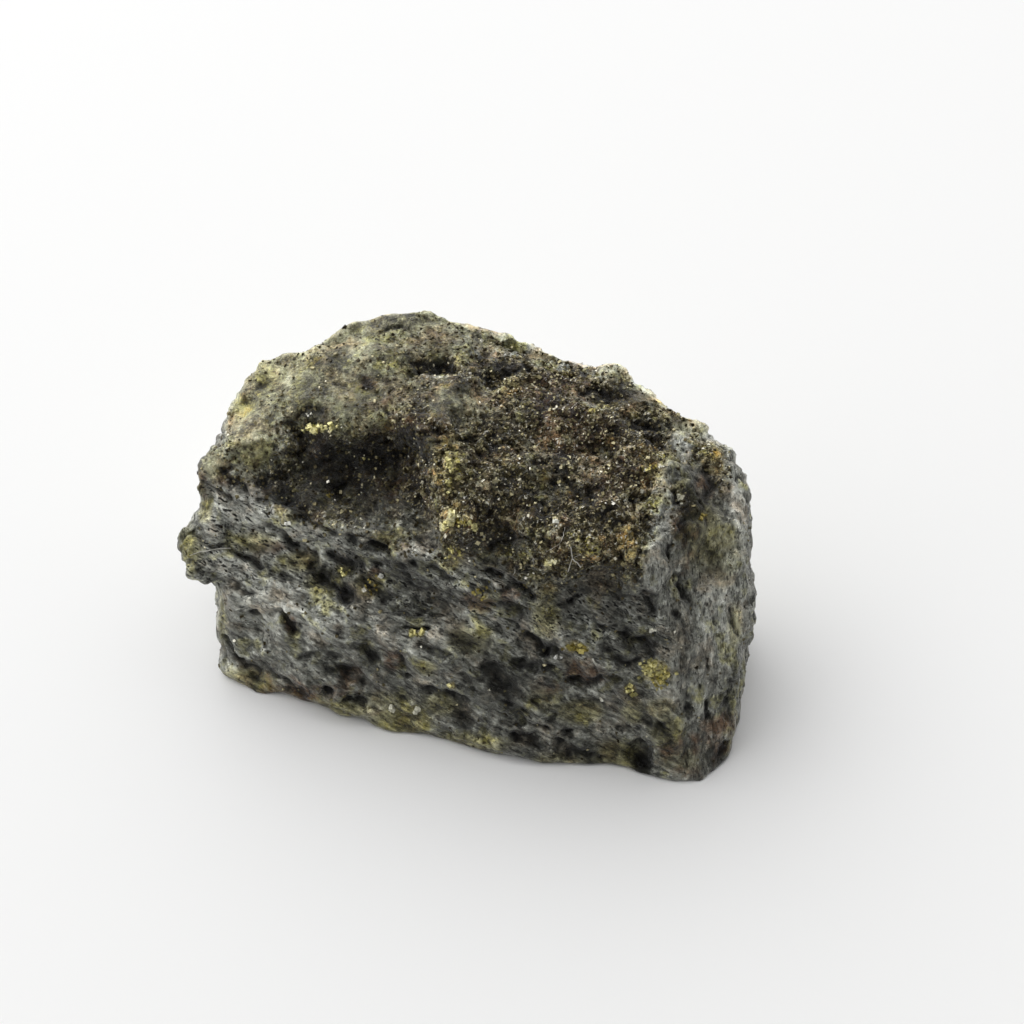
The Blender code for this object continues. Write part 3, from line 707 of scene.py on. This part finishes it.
def make_camera():
    centre, _ = camera_place()
    data = bpy.data.cameras.new("camera")
    data.sensor_width = SENSOR
    data.lens = SENSOR / 2 / math.tan(HALF_VIEW)
    data.clip_start, data.clip_end = CLIP
    camera = new_object("camera", data)
    turn = Matrix(camera_axes()).transposed().to_4x4()
    camera.matrix_world = Matrix.Translation(centre * MM) @ turn
    bpy.context.scene.camera = camera


# ---- places by pixel


def sight_tree(mesh, points):
    """The mesh's triangles, and a tree of them that lines of sight can be cast on."""
    mesh.calc_loop_triangles()
    triangles = read(mesh.loop_triangles, "vertices", 3, np.int64)
    return BVHTree.FromPolygons([Vector(p) for p in points], triangles.tolist()), triangles


def found(tree, u, v):
    """The place and normal where the line of sight through a pixel meets the stone.

    A line that just misses the stone is moved towards AIM_PIXEL until it meets it.
    """
    for step in range(SEARCH_STEPS):
        share = SEARCH_REACH * step / SEARCH_STEPS
        across = u + share * (AIM_PIXEL[0] - u)
        down = v + share * (AIM_PIXEL[1] - v)
        place, normal, _, _ = tree.ray_cast(*pixel_ray(across, down))
        if place is not None:
            return place, normal
    raise ValueError(f"nothing seen at {u}, {v}")


def path_places(tree, path):
    """The places on the stone that a path of pixels shows."""
    return np.array([found(tree, *pixel)[0] for pixel in path])


def patch_field(points, tree, patches):
    """The patches' strength at each point.

    It is whole out to half of a patch's half-size and gone at PATCH_EDGE of them. The edges are made
    ragged later, by noise in the material.
    """
    field = np.zeros(len(points))
    right, up, back = (np.array(axis) for axis in camera_axes())
    for u, v, wide, tall, strength in patches:
        place, _ = found(tree, u, v)
        offset = points - np.array(place)
        reach = np.sqrt(
            (offset @ right / (wide / 2)) ** 2
            + (offset @ up / (tall / 2)) ** 2
            + (offset @ back / max(wide, tall)) ** 2
        )
        field = np.maximum(field, strength * np.clip(PATCH_EDGE - reach, 0, 1))
    return field


# ---- relief by noise


def wandering(p, size):
    """A noise of a few octaves, the largest of this size."""
    return noise.fractal(p / size, *OCTAVES)


def warped(p, strength, size):
    """The place p pushed aside by a noise, which bends what is laid out from it."""
    return p + strength * noise.noise_vector(p / size)


def stretched(p, along, share=1.0):
    """Coordinates in which features come out long in the direction along."""
    along = along * share
    return p - along * (STRETCH * p.dot(along))


def chips(p, size, shift):
    """A small plane at its own height and tilt for each Voronoi cell."""
    p = (p + Vector(shift)) / size
    cell = noise.voronoi(p)[1][0]
    lean = noise.cell_vector(cell * CHIP_SEED)
    return size * CHIP_TILT * (lean.dot(p - cell) + CHIP_STEP * lean.x)


def lumps(p, height, size, shift=(0, 0, 0)):
    """Rounded lumps with sharp gaps between them."""
    return height * (LUMP_GAIN * abs(noise.noise(p / size + Vector(shift))) - LUMP_MEAN)


def dents(p, depth, size, edge, shift=(0, 0, 0)):
    """Dents where the noise is high: they begin and are whole at the values of edge."""
    return -depth * smoothstep(*edge, noise.noise(p / size + Vector(shift)))


def granular_relief(p):
    """Lumps, packed grains, and dents where some fell out."""
    warp = warped(p, *TOP_WARP)
    height = lumps(warp, *TOP_LUMPS) + lumps(p, *TOP_SMALL_LUMPS)
    height += sum(chips(p, *row) for row in TOP_CHIPS)
    return height + dents(warp, *TOP_DENTS)


def sheets(p):
    """The broken edges of thin sheets: a slow rise and a quick drop in each pitch."""
    across = p.dot(SHEETS_ACROSS) / SHEET_PITCH + SHEET_WANDER * wandering(p, SHEET_WANDER_SIZE)
    share = across - math.floor(across)
    strength = smoothstep(*SHEET_PATCH_EDGE, noise.noise(p / SHEET_PATCH_SIZE))
    slope = min(share / (1 - SHEET_DROP), (1 - share) / SHEET_DROP)
    return SHEET_STEP * strength * (slope - 0.5)


def fibrous_relief(p, along, fine):
    """Soft swells, lumps, threads, small pits and sheets, all but the sheets drawn out along."""
    warp = warped(p, *SIDE_WARP)
    threads = stretched(warp, along)
    stubby = stretched(warp, along, LUMP_SHARE)
    swell, size, shift = SIDE_SWELLS
    height = swell * noise.noise(stretched(p, along, SWELL_SHARE) / size + Vector(shift))
    height += lumps(stubby, *SIDE_LUMPS)
    height += lumps(threads, THREAD_HEIGHT + FINE_THREAD_HEIGHT * fine, THREAD_SIZE)
    height += dents(stubby, FINE_PIT_DEPTH * fine, *FINE_PITS)
    height += dents(threads, *SIDE_DENTS)
    return height + sheets(p)


def relief_height(p, granular, side, calm):
    """Height of the noise relief at a place. calm is what is left of the grainy part."""
    height = 0.0
    if granular > 0:
        height += granular * calm * granular_relief(p)
    if granular < 1:
        fine = smoothstep(*FINE_FROM, p.z)
        fibrous = fibrous_relief(p, ALONG_FRONT, fine) if side < 1 else 0.0
        if side > 0:
            fibrous = (1 - side) * fibrous + side * fibrous_relief(p, ALONG_SIDE, fine)
        height += (1 - granular) * fibrous
    return height


# ---- forms and zones


def segment_distance(points, start, end):
    way = end - start
    length = max(way @ way, 1e-9)  # a form of one corner has no length
    share = np.clip((points - start) @ way / length, 0, 1)
    return np.linalg.norm(points - start - share[:, None] * way, axis=1)


def ragged_shift(p):
    """A wandering shift that makes the edge of a form irregular."""
    large, small = (strength * noise.noise_vector(p / size) for strength, size in RAGGED_NOISE)
    return np.array(large + small)


def form_heights(points, tree, forms):
    """Height added by the forms, and how much of a ridge (1) or groove (-1) each place is."""
    height = np.zeros(len(points))
    share = np.zeros(len(points))
    for path, width, rise in forms:
        corners = path_places(tree, path)
        near = (points > corners.min(axis=0) - width) & (points < corners.max(axis=0) + width)
        near = np.flatnonzero(near.all(axis=1))
        ends = zip(corners, corners[1:]) if len(corners) > 1 else [(corners[0], corners[0])]
        ragged = min(width, RAGGED)
        places = points[near] + [ragged * ragged_shift(Vector(p)) for p in points[near]]
        distance = np.min([segment_distance(places, *pair) for pair in ends], axis=0)
        inside = 1 - steps(0.0, FORM_EDGE, distance / (width / 2))
        height[near] += FORM_STRENGTH * rise * inside
        share[near] += math.copysign(1, rise) * inside
    return height, np.clip(share, -1, 1)


def zone_weights(points, wide, tree):
    """How granular each place is (the rest is fibrous), and how much of an end face it is."""
    wobble = np.array([wandering(Vector(p), WOBBLE_SIZE) for p in points])
    x, _, z = points.T
    ridge = path_places(tree, CORNER_RIDGE)
    ridge = ridge[np.argsort(ridge[:, 2])]
    right = steps(*RIGHT_BORDER, x - np.interp(z, ridge[:, 2], ridge[:, 0]) + RIGHT_WOBBLE * wobble)
    right *= steps(*RIGHT_TURN, wide[:, 0])
    left = steps(*LEFT_TURN, -wide[:, 0]) * steps(*LEFT_BORDER, x)
    side = np.maximum(np.maximum(right, left), patch_field(points, tree, SIDE_PATCHES))
    edge = path_places(tree, SLAB_EDGE)
    edge = edge[np.argsort(edge[:, 0])]
    above = steps(*TOP_BORDER, z - np.interp(x, edge[:, 0], edge[:, 2]) + TOP_WOBBLE * wobble)
    return above * (1 - side), side


# ---- body


def carry(values, points, mesh):
    """Puts values known at points on the mesh's vertices, each from the nearest point."""
    tree = kdtree.KDTree(len(points))
    for i, p in enumerate(points):
        tree.insert(p, i)
    tree.balance()
    nearest = np.array([tree.find(v.co)[1] for v in mesh.vertices])
    for name, value in values.items():
        put(mesh, name, value[nearest])


def thin_out(body):
    """Brings the body down to MOST_TRIANGLES, still inside the CAD box."""
    triangles = 2 * len(body.data.polygons)
    if triangles > MOST_TRIANGLES:
        applied(body, "DECIMATE", ratio=MOST_TRIANGLES / triangles)
        points = read(body.data.vertices, "co", 3)
        kept = np.clip(points, BOX_LOW + BOX_MARGIN, BOX_HIGH - BOX_MARGIN)
        body.data.vertices.foreach_set("co", kept.ravel())


def make_body():
    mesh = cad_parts[NODE].data.copy()
    mesh.transform(Matrix.Scale(1 / MM, 4))
    body = new_object("pyrite_body", mesh)
    applied(body, "WELD", merge_threshold=WELD_DISTANCE)
    applied(body, "REMESH", mode="VOXEL", voxel_size=VOXEL)
    mesh = body.data
    edges = read(mesh.edges, "vertices", 2, np.int64)
    points = averaged(read(mesh.vertices, "co", 3), edges, SMOOTH_PASSES)
    mesh.vertices.foreach_set("co", points.ravel())
    mesh.update()
    normals = read(mesh.vertices, "normal", 3)
    wide = averaged(normals, edges, WIDE_PASSES)
    wide /= np.linalg.norm(wide, axis=1)[:, None]
    tree, _ = sight_tree(mesh, points)
    granular, side = zone_weights(points, wide, tree)
    # how far the skin turns to the back: its grain is smoothed there, and it gets painted sheen
    worn = steps(*WEAR_AND_SHEEN_TURN, wide[:, 1])
    calm = 1 - CALM_OLIVE * patch_field(points, tree, PATCHES["olive"])
    calm *= 1 - CALM_WORN * worn
    rows = zip(map(Vector, points), granular, side, calm)
    height = np.array([relief_height(*row) for row in rows])
    rise, form = form_heights(points, tree, FORMS)
    outline, _ = form_heights(points, tree, OUTLINE_FORMS)
    above = steps(*FOOT, points[:, 2])
    height = (height + rise) * above
    local = averaged(height, edges, LOCAL_PASSES)[:, 0]
    moved = points + (height + outline * above)[:, None] * normals
    moved = np.clip(moved, BOX_LOW, BOX_HIGH)
    mesh.vertices.foreach_set("co", moved.ravel())
    mesh.update()
    thin_out(body)
    values = {"granular": granular, "side": side, "relief": height - local, "form": form}
    values |= {"worn": worn, "fine": steps(*FINE_FROM, points[:, 2])}
    carry(values, moved, body.data)
    body.data.shade_smooth()
    return body


# ---- grains, crystals and lint


def turns(rng, count):
    """Random rotation matrices."""
    q = rng.normal(size=(count, 4))
    q /= np.linalg.norm(q, axis=1)[:, None]
    w, x, y, z = q.T
    rows = [
        [1 - 2 * (y * y + z * z), 2 * (x * y - w * z), 2 * (x * z + w * y)],
        [2 * (x * y + w * z), 1 - 2 * (x * x + z * z), 2 * (y * z - w * x)],
        [2 * (x * z - w * y), 2 * (y * z + w * x), 1 - 2 * (x * x + y * y)],
    ]
    return np.array(rows).transpose(2, 0, 1)


def blocks(rng, centres, sizes, uneven, tints):
    """Corners and tints of one small crystal for each centre, without those that leave the CAD box."""
    count = len(centres)
    shape = CUBE[None] * rng.uniform(1 - uneven, 1 + uneven, (count, 1, 3))
    shape = shape + rng.uniform(-CORNER_JITTER, CORNER_JITTER, (count, 8, 3))
    corners = np.einsum("nij,nkj->nki", turns(rng, count), shape * sizes[:, None, None])
    corners += centres[:, None]
    inside = ((corners > BOX_LOW) & (corners < BOX_HIGH)).all(axis=(1, 2))
    return corners[inside], tints[inside]


def mesh_of(name, corners, faces):
    """A mesh in metres from corners in mm, with its faces turned outwards."""
    mesh = bpy.data.meshes.new(name)
    mesh.from_pydata((np.asarray(corners) * MM).tolist(), [], faces)
    bm = bmesh.new()
    bm.from_mesh(mesh)
    bmesh.ops.recalc_face_normals(bm, faces=bm.faces)
    bm.to_mesh(mesh)
    bm.free()
    return mesh


def piece_of(name, mesh, material):
    """Makes a piece that rides on the one body."""
    mesh.materials.append(material)
    piece = new_object(name, mesh)
    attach(piece, BODY)


def crystal_piece(name, parts):
    corners = np.concatenate([part[0] for part in parts])
    tints = np.concatenate([part[1] for part in parts])
    count = len(corners)
    faces = (CUBE_FACES[None] + 8 * np.arange(count)[:, None, None]).reshape(-1, 4)
    mesh = mesh_of(name, corners.reshape(-1, 3), faces.tolist())
    put(mesh, "tint", np.repeat(tints, 8))
    piece_of(name, mesh, crystal_material(*CRYSTAL_FINISHES[name]))


def grain_weights(mesh, triangles, lowest):
    """How thickly the grains lie on each triangle."""

    def mean(name):
        return read(mesh.attributes[name].data, "value", kind=np.float32)[triangles].mean(axis=1)

    kept = 1
    for name, lost in GRAINS_LOST.items():
        kept = kept * (1 - lost * mean(name))
    return (GRAINS_ON_SIDES + mean("granular")) * kept * (lowest > GRAINS_FROM)


def scattered(rng, corners, normals, weights):
    """Grains strewn over the triangles, thicker where weights are high."""
    a, b, c = corners.transpose(1, 0, 2)
    area = np.linalg.norm(np.cross(b - a, c - a), axis=1) * weights
    chosen = rng.choice(len(area), GRAIN_COUNT, p=area / area.sum())
    s, t = rng.random((2, GRAIN_COUNT))
    over = s + t > 1
    s, t = np.where(over, 1 - s, s), np.where(over, 1 - t, t)
    place = a[chosen] + s[:, None] * (b - a)[chosen] + t[:, None] * (c - a)[chosen]
    small, large = GRAIN_SIZES
    size = small * (large / small) ** (rng.random(GRAIN_COUNT) ** GRAIN_SMALLNESS)
    lift = size * rng.uniform(*GRAIN_LIFT, GRAIN_COUNT)
    centres = place + lift[:, None] * normals[chosen]
    return blocks(rng, centres, size, GRAIN_UNEVEN, rng.random(GRAIN_COUNT))


def cluster(rng, tree, u, v, wide, tall, count, size, tint):
    """Crystals crowded together round the place seen at a pixel."""
    pixels = camera_place()[1] / DISTANCE
    centres = []
    for _ in range(count):
        du, dv = rng.normal(size=2) * (wide, tall) * CLUSTER_SPREAD * pixels
        place, normal = found(tree, u + du, v + dv)
        centres.append(place - normal * size * CLUSTER_SINK)
    sizes = size * rng.uniform(*CLUSTER_SIZES, count)
    tints = np.clip(tint + rng.uniform(-CLUSTER_TINTS, CLUSTER_TINTS, count), 0, 1)
    return blocks(rng, np.array(centres), sizes, CLUSTER_UNEVEN, tints)


def strand(tree, path, thickness):
    """Corners and faces of a thin thread that lies on the stone along a path of pixels."""
    path = np.array(path, float)
    along = np.linspace(0, len(path) - 1, STRAND_POINTS * len(path))
    line = [np.interp(along, range(len(path)), column) for column in path.T]
    hits = [found(tree, u, v) for u, v in zip(*line)]
    spine = np.array([place + STRAND_LIFT * normal for place, normal in hits])
    for _ in range(STRAND_PASSES):
        spine[1:-1] = spine[:-2] / 4 + spine[1:-1] / 2 + spine[2:] / 4
    right, up, back = (np.array(axis) for axis in camera_axes())
    across = (right + up) / math.sqrt(2)
    ring = [math.tau * side / STRAND_SIDES for side in range(STRAND_SIDES)]
    rim = np.array([math.cos(turn) * across + math.sin(turn) * back for turn in ring])
    corners = (spine[:, None] + thickness / 2 * rim[None]).reshape(-1, 3)
    faces = [list(range(STRAND_SIDES)), list(range(len(corners) - STRAND_SIDES, len(corners)))]
    for start in range(0, len(corners) - STRAND_SIDES, STRAND_SIDES):
        for side in range(STRAND_SIDES):
            after = (side + 1) % STRAND_SIDES
            over = start + STRAND_SIDES
            faces.append([start + side, start + after, over + after, over + side])
    return corners, faces


def lint_piece(tree):
    corners, faces = [], []
    for path, thickness in LINT:
        more, sides = strand(tree, path, thickness)
        faces += [[len(corners) + index for index in side] for side in sides]
        corners += more.tolist()
    mesh = mesh_of("lint", np.clip(corners, BOX_LOW, BOX_HIGH), faces)
    piece_of("lint", mesh, plain_material("lint", LINT_COLOUR, LINT_ROUGHNESS))


# ---- materials


class Nodes:
    """Shorthand for building the nodes of a material or of the world."""

    def __init__(self, owner):
        owner.use_nodes = True
        self.owner = owner
        self.tree = owner.node_tree

    def add(self, kind, inputs=(), **settings):
        node = self.tree.nodes.new("ShaderNode" + kind)
        for name, value in settings.items():
            setattr(node, name, value)
        for key, value in dict(inputs).items():
            self.put(node.inputs[key], value)
        return node

    def put(self, socket, value):
        if isinstance(value, bpy.types.NodeSocket):
            self.tree.links.new(value, socket)
        else:
            socket.default_value = value

    def shader(self, **inputs):
        """Sets the shader's inputs: base_color stands for Base Color, and so on."""
        sockets = self.tree.nodes["Principled BSDF"].inputs
        for name, value in inputs.items():
            self.put(sockets[name.replace("_", " ").title()], value)
        return self.owner

    def math(self, operation, *values, clamp=False):
        inputs = dict(enumerate(values))
        return self.add("Math", inputs, operation=operation, use_clamp=clamp).outputs[0]

    def total(self, *values):
        return reduce(lambda a, b: self.math("ADD", a, b), values)

    def product(self, *values):
        return reduce(lambda a, b: self.math("MULTIPLY", a, b), values)

    def centred(self, value, strength):
        """A noise between 0 and 1, turned into one about 0."""
        return self.product(self.math("SUBTRACT", value, 0.5), strength)

    def vector(self, operation, *values):
        node = self.add("VectorMath", dict(enumerate(values)), operation=operation)
        return node.outputs["Value" if operation == "DOT_PRODUCT" else "Vector"]

    def scaled(self, vector, factor):
        inputs = {"Vector": vector, "Scale": factor}
        return self.add("VectorMath", inputs, operation="SCALE").outputs["Vector"]

    def millimetres(self):
        return self.scaled(self.add("TexCoord").outputs["Object"], 1 / MM)

    def attribute(self, name):
        return self.add("Attribute", attribute_name=name).outputs["Fac"]

    def noise(self, place, name, output="Fac"):
        scale, detail, roughness, *shift = NOISES[name]
        if shift:
            place = self.vector("ADD", place, shift)
        inputs = {"Vector": place, "Scale": scale, "Detail": detail, "Roughness": roughness}
        return self.add("TexNoise", inputs).outputs[output]

    def range(self, value, low, high, to_low=0.0, to_high=1.0):
        inputs = {0: value, 1: low, 2: high, 3: to_low, 4: to_high}
        return self.add("MapRange", inputs, interpolation_type="SMOOTHSTEP").outputs[0]

    def step(self, value, name):
        return self.range(value, *RANGES[name])

    def mix(self, share, a, b, kind="MIX"):
        node = self.add("Mix", data_type="RGBA", blend_type=kind)
        for key, value in zip((0, 6, 7), (share, a, b)):
            self.put(node.inputs[key], value)
        return node.outputs[2]

    def blend(self, share, a, b):
        return self.add("Mix", {0: share, 2: a, 3: b}, data_type="FLOAT").outputs[0]

    def ramp(self, value, stops):
        node = self.add("ValToRGB", {0: value})
        elements = node.color_ramp.elements
        while len(elements) < len(stops):
            elements.new(0.5)
        for element, (place, colour) in zip(elements, stops):
            element.position = place
            element.color = (*colour, 1)
        return node.outputs[0]

    def bump(self, height, distance, **inputs):
        inputs |= {"Height": height, "Distance": distance, "Strength": 1.0}
        return self.add("Bump", inputs).outputs[0]

    def along(self, vector, direction):
        """vector with its part along direction mostly taken out, so that features stretch."""
        reach = self.vector("DOT_PRODUCT", vector, tuple(direction))
        part = self.scaled(tuple(direction), self.product(reach, STRETCH))
        return self.vector("SUBTRACT", vector, part)


class Skin(Nodes):
    """The nodes of the stone's skin, with what its parts share."""

    def __init__(self):
        super().__init__(bpy.data.materials.new("pyrite_rough"))
        self.fields = {name: self.attribute(name) for name in SKIN_FIELDS}
        self.places = self.millimetres()
        self.front = self.along(self.places, ALONG_FRONT)
        self.flank = self.along(self.places, ALONG_SIDE)
        self.grain = self.noise(self.places, "grain tone")
        self.ragged = self.centred(self.grain, PATCH_RAGGED)
        self.ticks = self.threaded("ticks")
        rest = self.math("SUBTRACT", 1.0, self.fields["granular"])
        self.fibrous = self.product(self.fields["fine"], rest, self.by("side", FRONT_TICKS))
        bend = self.vector("SUBTRACT", self.noise(self.places, "bends", "Color"), HALF)
        bent = self.vector("ADD", self.places, self.scaled(bend, FLAKE_BEND))
        self.flakes = self.along(bent, ALONG_FLAKES)

    def by(self, name, pair):
        """The first of a pair where a field is 0, and the second where it is 1."""
        return self.blend(self.fields[name], *pair)

    def threaded(self, name):
        """A noise drawn out along the front's threads, or along an end face's."""
        return self.by("side", [self.noise(place, name) for place in (self.front, self.flank)])

    def cells(self, scale):
        """A colour for each of the flakes that the skin is made of."""
        inputs = {"Vector": self.flakes, "Scale": scale}
        return self.add("TexVoronoi", inputs, feature="F1").outputs["Color"]

    def patch(self, name, ragged):
        """How much of a patch's colour shows, with its edge made ragged by a noise about 0."""
        return self.step(self.total(self.fields[name], ragged), name)

    def tone(self, glitter):
        """How light each place is, before its colour: its own tone, with painted highlight and shade from the
        relief, painted sheen on the back and painted highlights on the rims of the ticks.
        """
        blotches = self.noise(self.places, "blotches")
        drawn_out = self.product(self.total(blotches, self.threaded("streaks")), 0.5)
        blotches = self.by("granular", (drawn_out, blotches))
        threads = self.centred(self.threaded("threads"), self.by("side", FRONT_THREADS))
        rim_highlights = self.step(self.ticks, "tick rims")
        return self.total(
            self.by("granular", (self.threaded("fibre tone"), self.grain)),
            # painted highlight and shade from the relief and forms, and painted sheen on the back
            *(self.product(self.fields[name], strength) for name, strength in PAINTED_LIGHT_IN_TONE.items()),
            self.centred(blotches, self.by("granular", BLOTCHES)),
            self.product(threads, self.by("fine", THREADS)),
            # painted highlights on the rims of the ticks
            self.product(rim_highlights, self.fibrous),
            self.centred(glitter, self.by("granular", GLITTER)),
        )

    def rock_colour(self, tone):
        """Grey rock and the warm grainy top, greener or yellower in patches, with painted sheen: paler in the
        sheen patches and on the back, and the olive dome lighter under them.
        """
        colour = self.mix(self.fields["granular"], self.ramp(tone, GREY), self.ramp(tone, WARM))
        # painted sheen: paler rock in the sheen patches and on the back
        colour = self.mix(self.patch("sheen", self.ragged), colour, self.ramp(tone, PAINTED_SHEEN_RAMP))
        olive = self.ramp(tone, OLIVE)
        # painted sheen: the olive dome made lighter under the sheen patches
        olive = self.mix(self.fields["sheen"], olive, OLIVE_PAINTED_SHEEN_FACTOR, "MULTIPLY")
        colour = self.mix(self.patch("olive", self.ragged), colour, olive)
        tint = self.ramp(self.noise(self.places, "tint"), TINT)
        colour = self.mix(1.0, colour, tint, "MULTIPLY")
        hue = self.ramp(self.noise(self.places, "hue"), HUE)
        share = self.product(self.fields["granular"], self.by("olive", HUE_SHARE))
        colour = self.mix(share, colour, hue, "MULTIPLY")
        return self.mix(self.patch("ochre", self.ragged), colour, OCHRE_FACTOR, "MULTIPLY")

    def stained_and_shaded(self, colour, tone):
        """Rust and brassy stains on the colour, and near-black painted shade in the shade patches."""
        rust = self.centred(self.noise(self.places, "rust"), RUST_RAGGED)
        colour = self.mix(self.patch("rust", rust), colour, self.ramp(tone, RUST))
        brass = self.centred(self.noise(self.places, "brass"), BRASS_RAGGED)
        colour = self.mix(self.patch("brass", brass), colour, self.ramp(tone, BRASS))
        # painted shade: near-black where the shade patches lie
        return self.mix(self.patch("dark", self.ragged), colour, PAINTED_SHADE_BLACK)

    def painted_glints(self, chance, tone):
        """Which flakes get painted glints: a few, in crowds, where the rock is neither in painted shade nor
        olive.
        """
        crowds = self.noise(self.places, "crowds")
        return self.product(
            self.range(chance, *GLINT_CELLS, 0.0, self.by("granular", GLINTS)),
            self.step(crowds, "glints by crowd"),
            self.step(tone, "glints by tone"),
            self.step(self.fields["olive"], "glints by olive"),
            self.step(self.fields["dark"], "glints by dark"),
        )

    def shade(self):
        """Light left in hollows, grooves, pits and ticks: 1 where there are none."""
        pits = self.range(self.threaded("pits"), *PIT_EDGE, 1.0, self.by("olive", PIT_SHADE))
        tick = self.step(self.ticks, "ticks")
        tick = self.product(tick, self.total(self.fibrous, TICKS_ALL_OVER))
        return self.product(
            self.step(self.fields["relief"], "shade by relief"),
            self.step(self.fields["form"], "shade by form"),
            pits,
            self.math("SUBTRACT", 1.0, tick, clamp=True),
        )

    def tilts(self, cells, sides, fresh, worn):
        """How much the flakes of one size tilt."""
        share = self.by("granular", (sides, self.by("worn", (fresh, worn))))
        return self.scaled(self.vector("SUBTRACT", cells, HALF), share)

    def surface(self, small, shade):
        """The normal, with the flakes' tilts and the finest grit."""
        tilts = self.tilts(small, *SMALL_FACETS[1:])
        scale, *strengths = LARGE_FACETS
        tilts = self.vector("ADD", tilts, self.tilts(self.cells(scale), *strengths))
        plain = self.add("NewGeometry").outputs["Normal"]
        normal = self.vector("NORMALIZE", self.vector("ADD", plain, tilts))
        top_grit = self.noise(self.places, "top grit")
        grit = self.by("granular", (self.threaded("side grit"), top_grit))
        depth = self.by("granular", (self.by("fine", SIDE_GRIT), self.by("worn", TOP_GRIT)))
        normal = self.bump(grit, depth, Normal=normal)
        return self.bump(shade, SHADE_DEPTH, Normal=normal)


def pyrite_material():
    n = Skin()
    small = n.cells(SMALL_FACETS[0])
    glitter, chance, glint_tint = n.add("SeparateColor", {0: small}).outputs
    tone = n.tone(glitter)
    painted_glints = n.painted_glints(chance, tone)
    colour = n.stained_and_shaded(n.rock_colour(tone), tone)
    # painted glints: pale colour on the flakes that glint
    colour = n.mix(painted_glints, colour, n.ramp(glint_tint, PAINTED_GLINT_RAMP))
    # painted shade: the base colour is darkened in hollows, grooves, pits and ticks
    shade = n.shade()
    painted_shade_grey = n.add("CombineColor", {0: shade, 1: shade, 2: shade}).outputs[0]
    return n.shader(
        base_color=n.mix(1.0, colour, painted_shade_grey, "MULTIPLY"),
        normal=n.surface(small, shade),
        metallic=n.blend(painted_glints, n.step(tone, "metal"), GLINT_METAL),
        roughness=n.step(n.threaded("gloss"), "gloss"),
        sheen_weight=SHEEN_WEIGHT,
        sheen_roughness=SHEEN_ROUGHNESS,
    )


def crystal_material(name, stops, roughness, metallic):
    n = Nodes(bpy.data.materials.new(name))
    places = n.millimetres()
    film = n.noise(places, "film")
    colour = n.ramp(n.attribute("tint"), stops)
    dull = [roughness + change for change in FILM_ROUGHENS]
    return n.shader(
        base_color=n.mix(n.step(film, "film"), colour, FILM),
        metallic=metallic,
        roughness=n.range(film, *FILM_EDGE, *dull),
        normal=n.bump(n.noise(places, "crystal grit"), CRYSTAL_GRIT),
    )


def plain_material(name, colour, roughness):
    n = Nodes(bpy.data.materials.new(name))
    return n.shader(base_color=(*colour, 1), roughness=roughness)


# ---- floor and light


def make_floor():
    mesh = bpy.data.meshes.new("floor")
    corners = [(-1, -1), (1, -1), (1, 1), (-1, 1)]
    mesh.from_pydata([(FLOOR_REACH * x, FLOOR_REACH * y, 0) for x, y in corners], [], [(0, 1, 2, 3)])
    mesh.materials.append(plain_material("paper", PAPER, PAPER_ROUGHNESS))
    floor = new_object("floor", mesh)


def make_window():
    data = bpy.data.lights.new("window", "AREA")
    data.shape = "DISK"
    data.size = WINDOW_SIZE
    data.energy = WINDOW_POWER
    light = new_object("window", data)
    light.location = WINDOW_PLACE
    light.rotation_euler = Vector(WINDOW_PLACE).to_track_quat("Z", "Y").to_euler()


def make_room():
    world = bpy.data.worlds.new("studio")
    bpy.context.scene.world = world
    n = Nodes(world)
    way = n.add("TexCoord").outputs["Generated"]

    def glow(direction, edge, change):
        """A change in brightness that comes in towards a direction."""
        return n.range(n.vector("DOT_PRODUCT", way, tuple(direction)), *edge, 0.0, change)

    dim = glow(camera_axes()[2], ROOM_DIM_EDGE, ROOM_DIM)
    bright = glow(ROOM_BRIGHT, ROOM_GLOW_EDGE, ROOM_GLOW)
    background = n.tree.nodes["Background"].inputs
    n.put(background["Color"], ROOM_COLOUR)
    n.put(background["Strength"], n.total(dim, bright, ROOM))
    bpy.context.scene.view_settings.view_transform = "Standard"


# ---- the whole


def put_patches(mesh, points, tree):
    """Puts the patches' fields on the skin. The skin turned to the back gets painted sheen, as the sheen
    patches do.
    """
    worn = read(mesh.attributes["worn"].data, "value", kind=np.float32)
    for name, patches in PATCHES.items():
        field = patch_field(points, tree, patches)
        if name == "sheen":
            field = np.maximum(field, BACK_PAINTED_SHEEN * worn)
        put(mesh, name, field)


def dress(body):
    mesh = body.data
    points = read(mesh.vertices, "co", 3)
    tree, triangles = sight_tree(mesh, points)
    corners = points[triangles]
    normals = read(mesh.loop_triangles, "normal", 3)
    put_patches(mesh, points, tree)
    rng = np.random.default_rng(GRAIN_SEED)
    weights = grain_weights(mesh, triangles, corners[:, :, 2].min(axis=1))
    crystal_piece("pyrite_grains", [scattered(rng, corners, normals, weights)])
    crystal_piece("brassy_crystals", [cluster(rng, tree, *row) for row in CRYSTALS])
    crystal_piece("pale_crystals", [cluster(rng, tree, *row) for row in PALE_CRYSTALS])
    lint_piece(tree)
    mesh.materials.clear()
    mesh.materials.append(pyrite_material())


noise.seed_set(NOISE_SEED)
body = make_body()
dress(body)
body.data.transform(Matrix.Scale(MM, 4))
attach(body, BODY)
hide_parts(NODE)
make_floor()
make_window()
make_room()
make_camera()
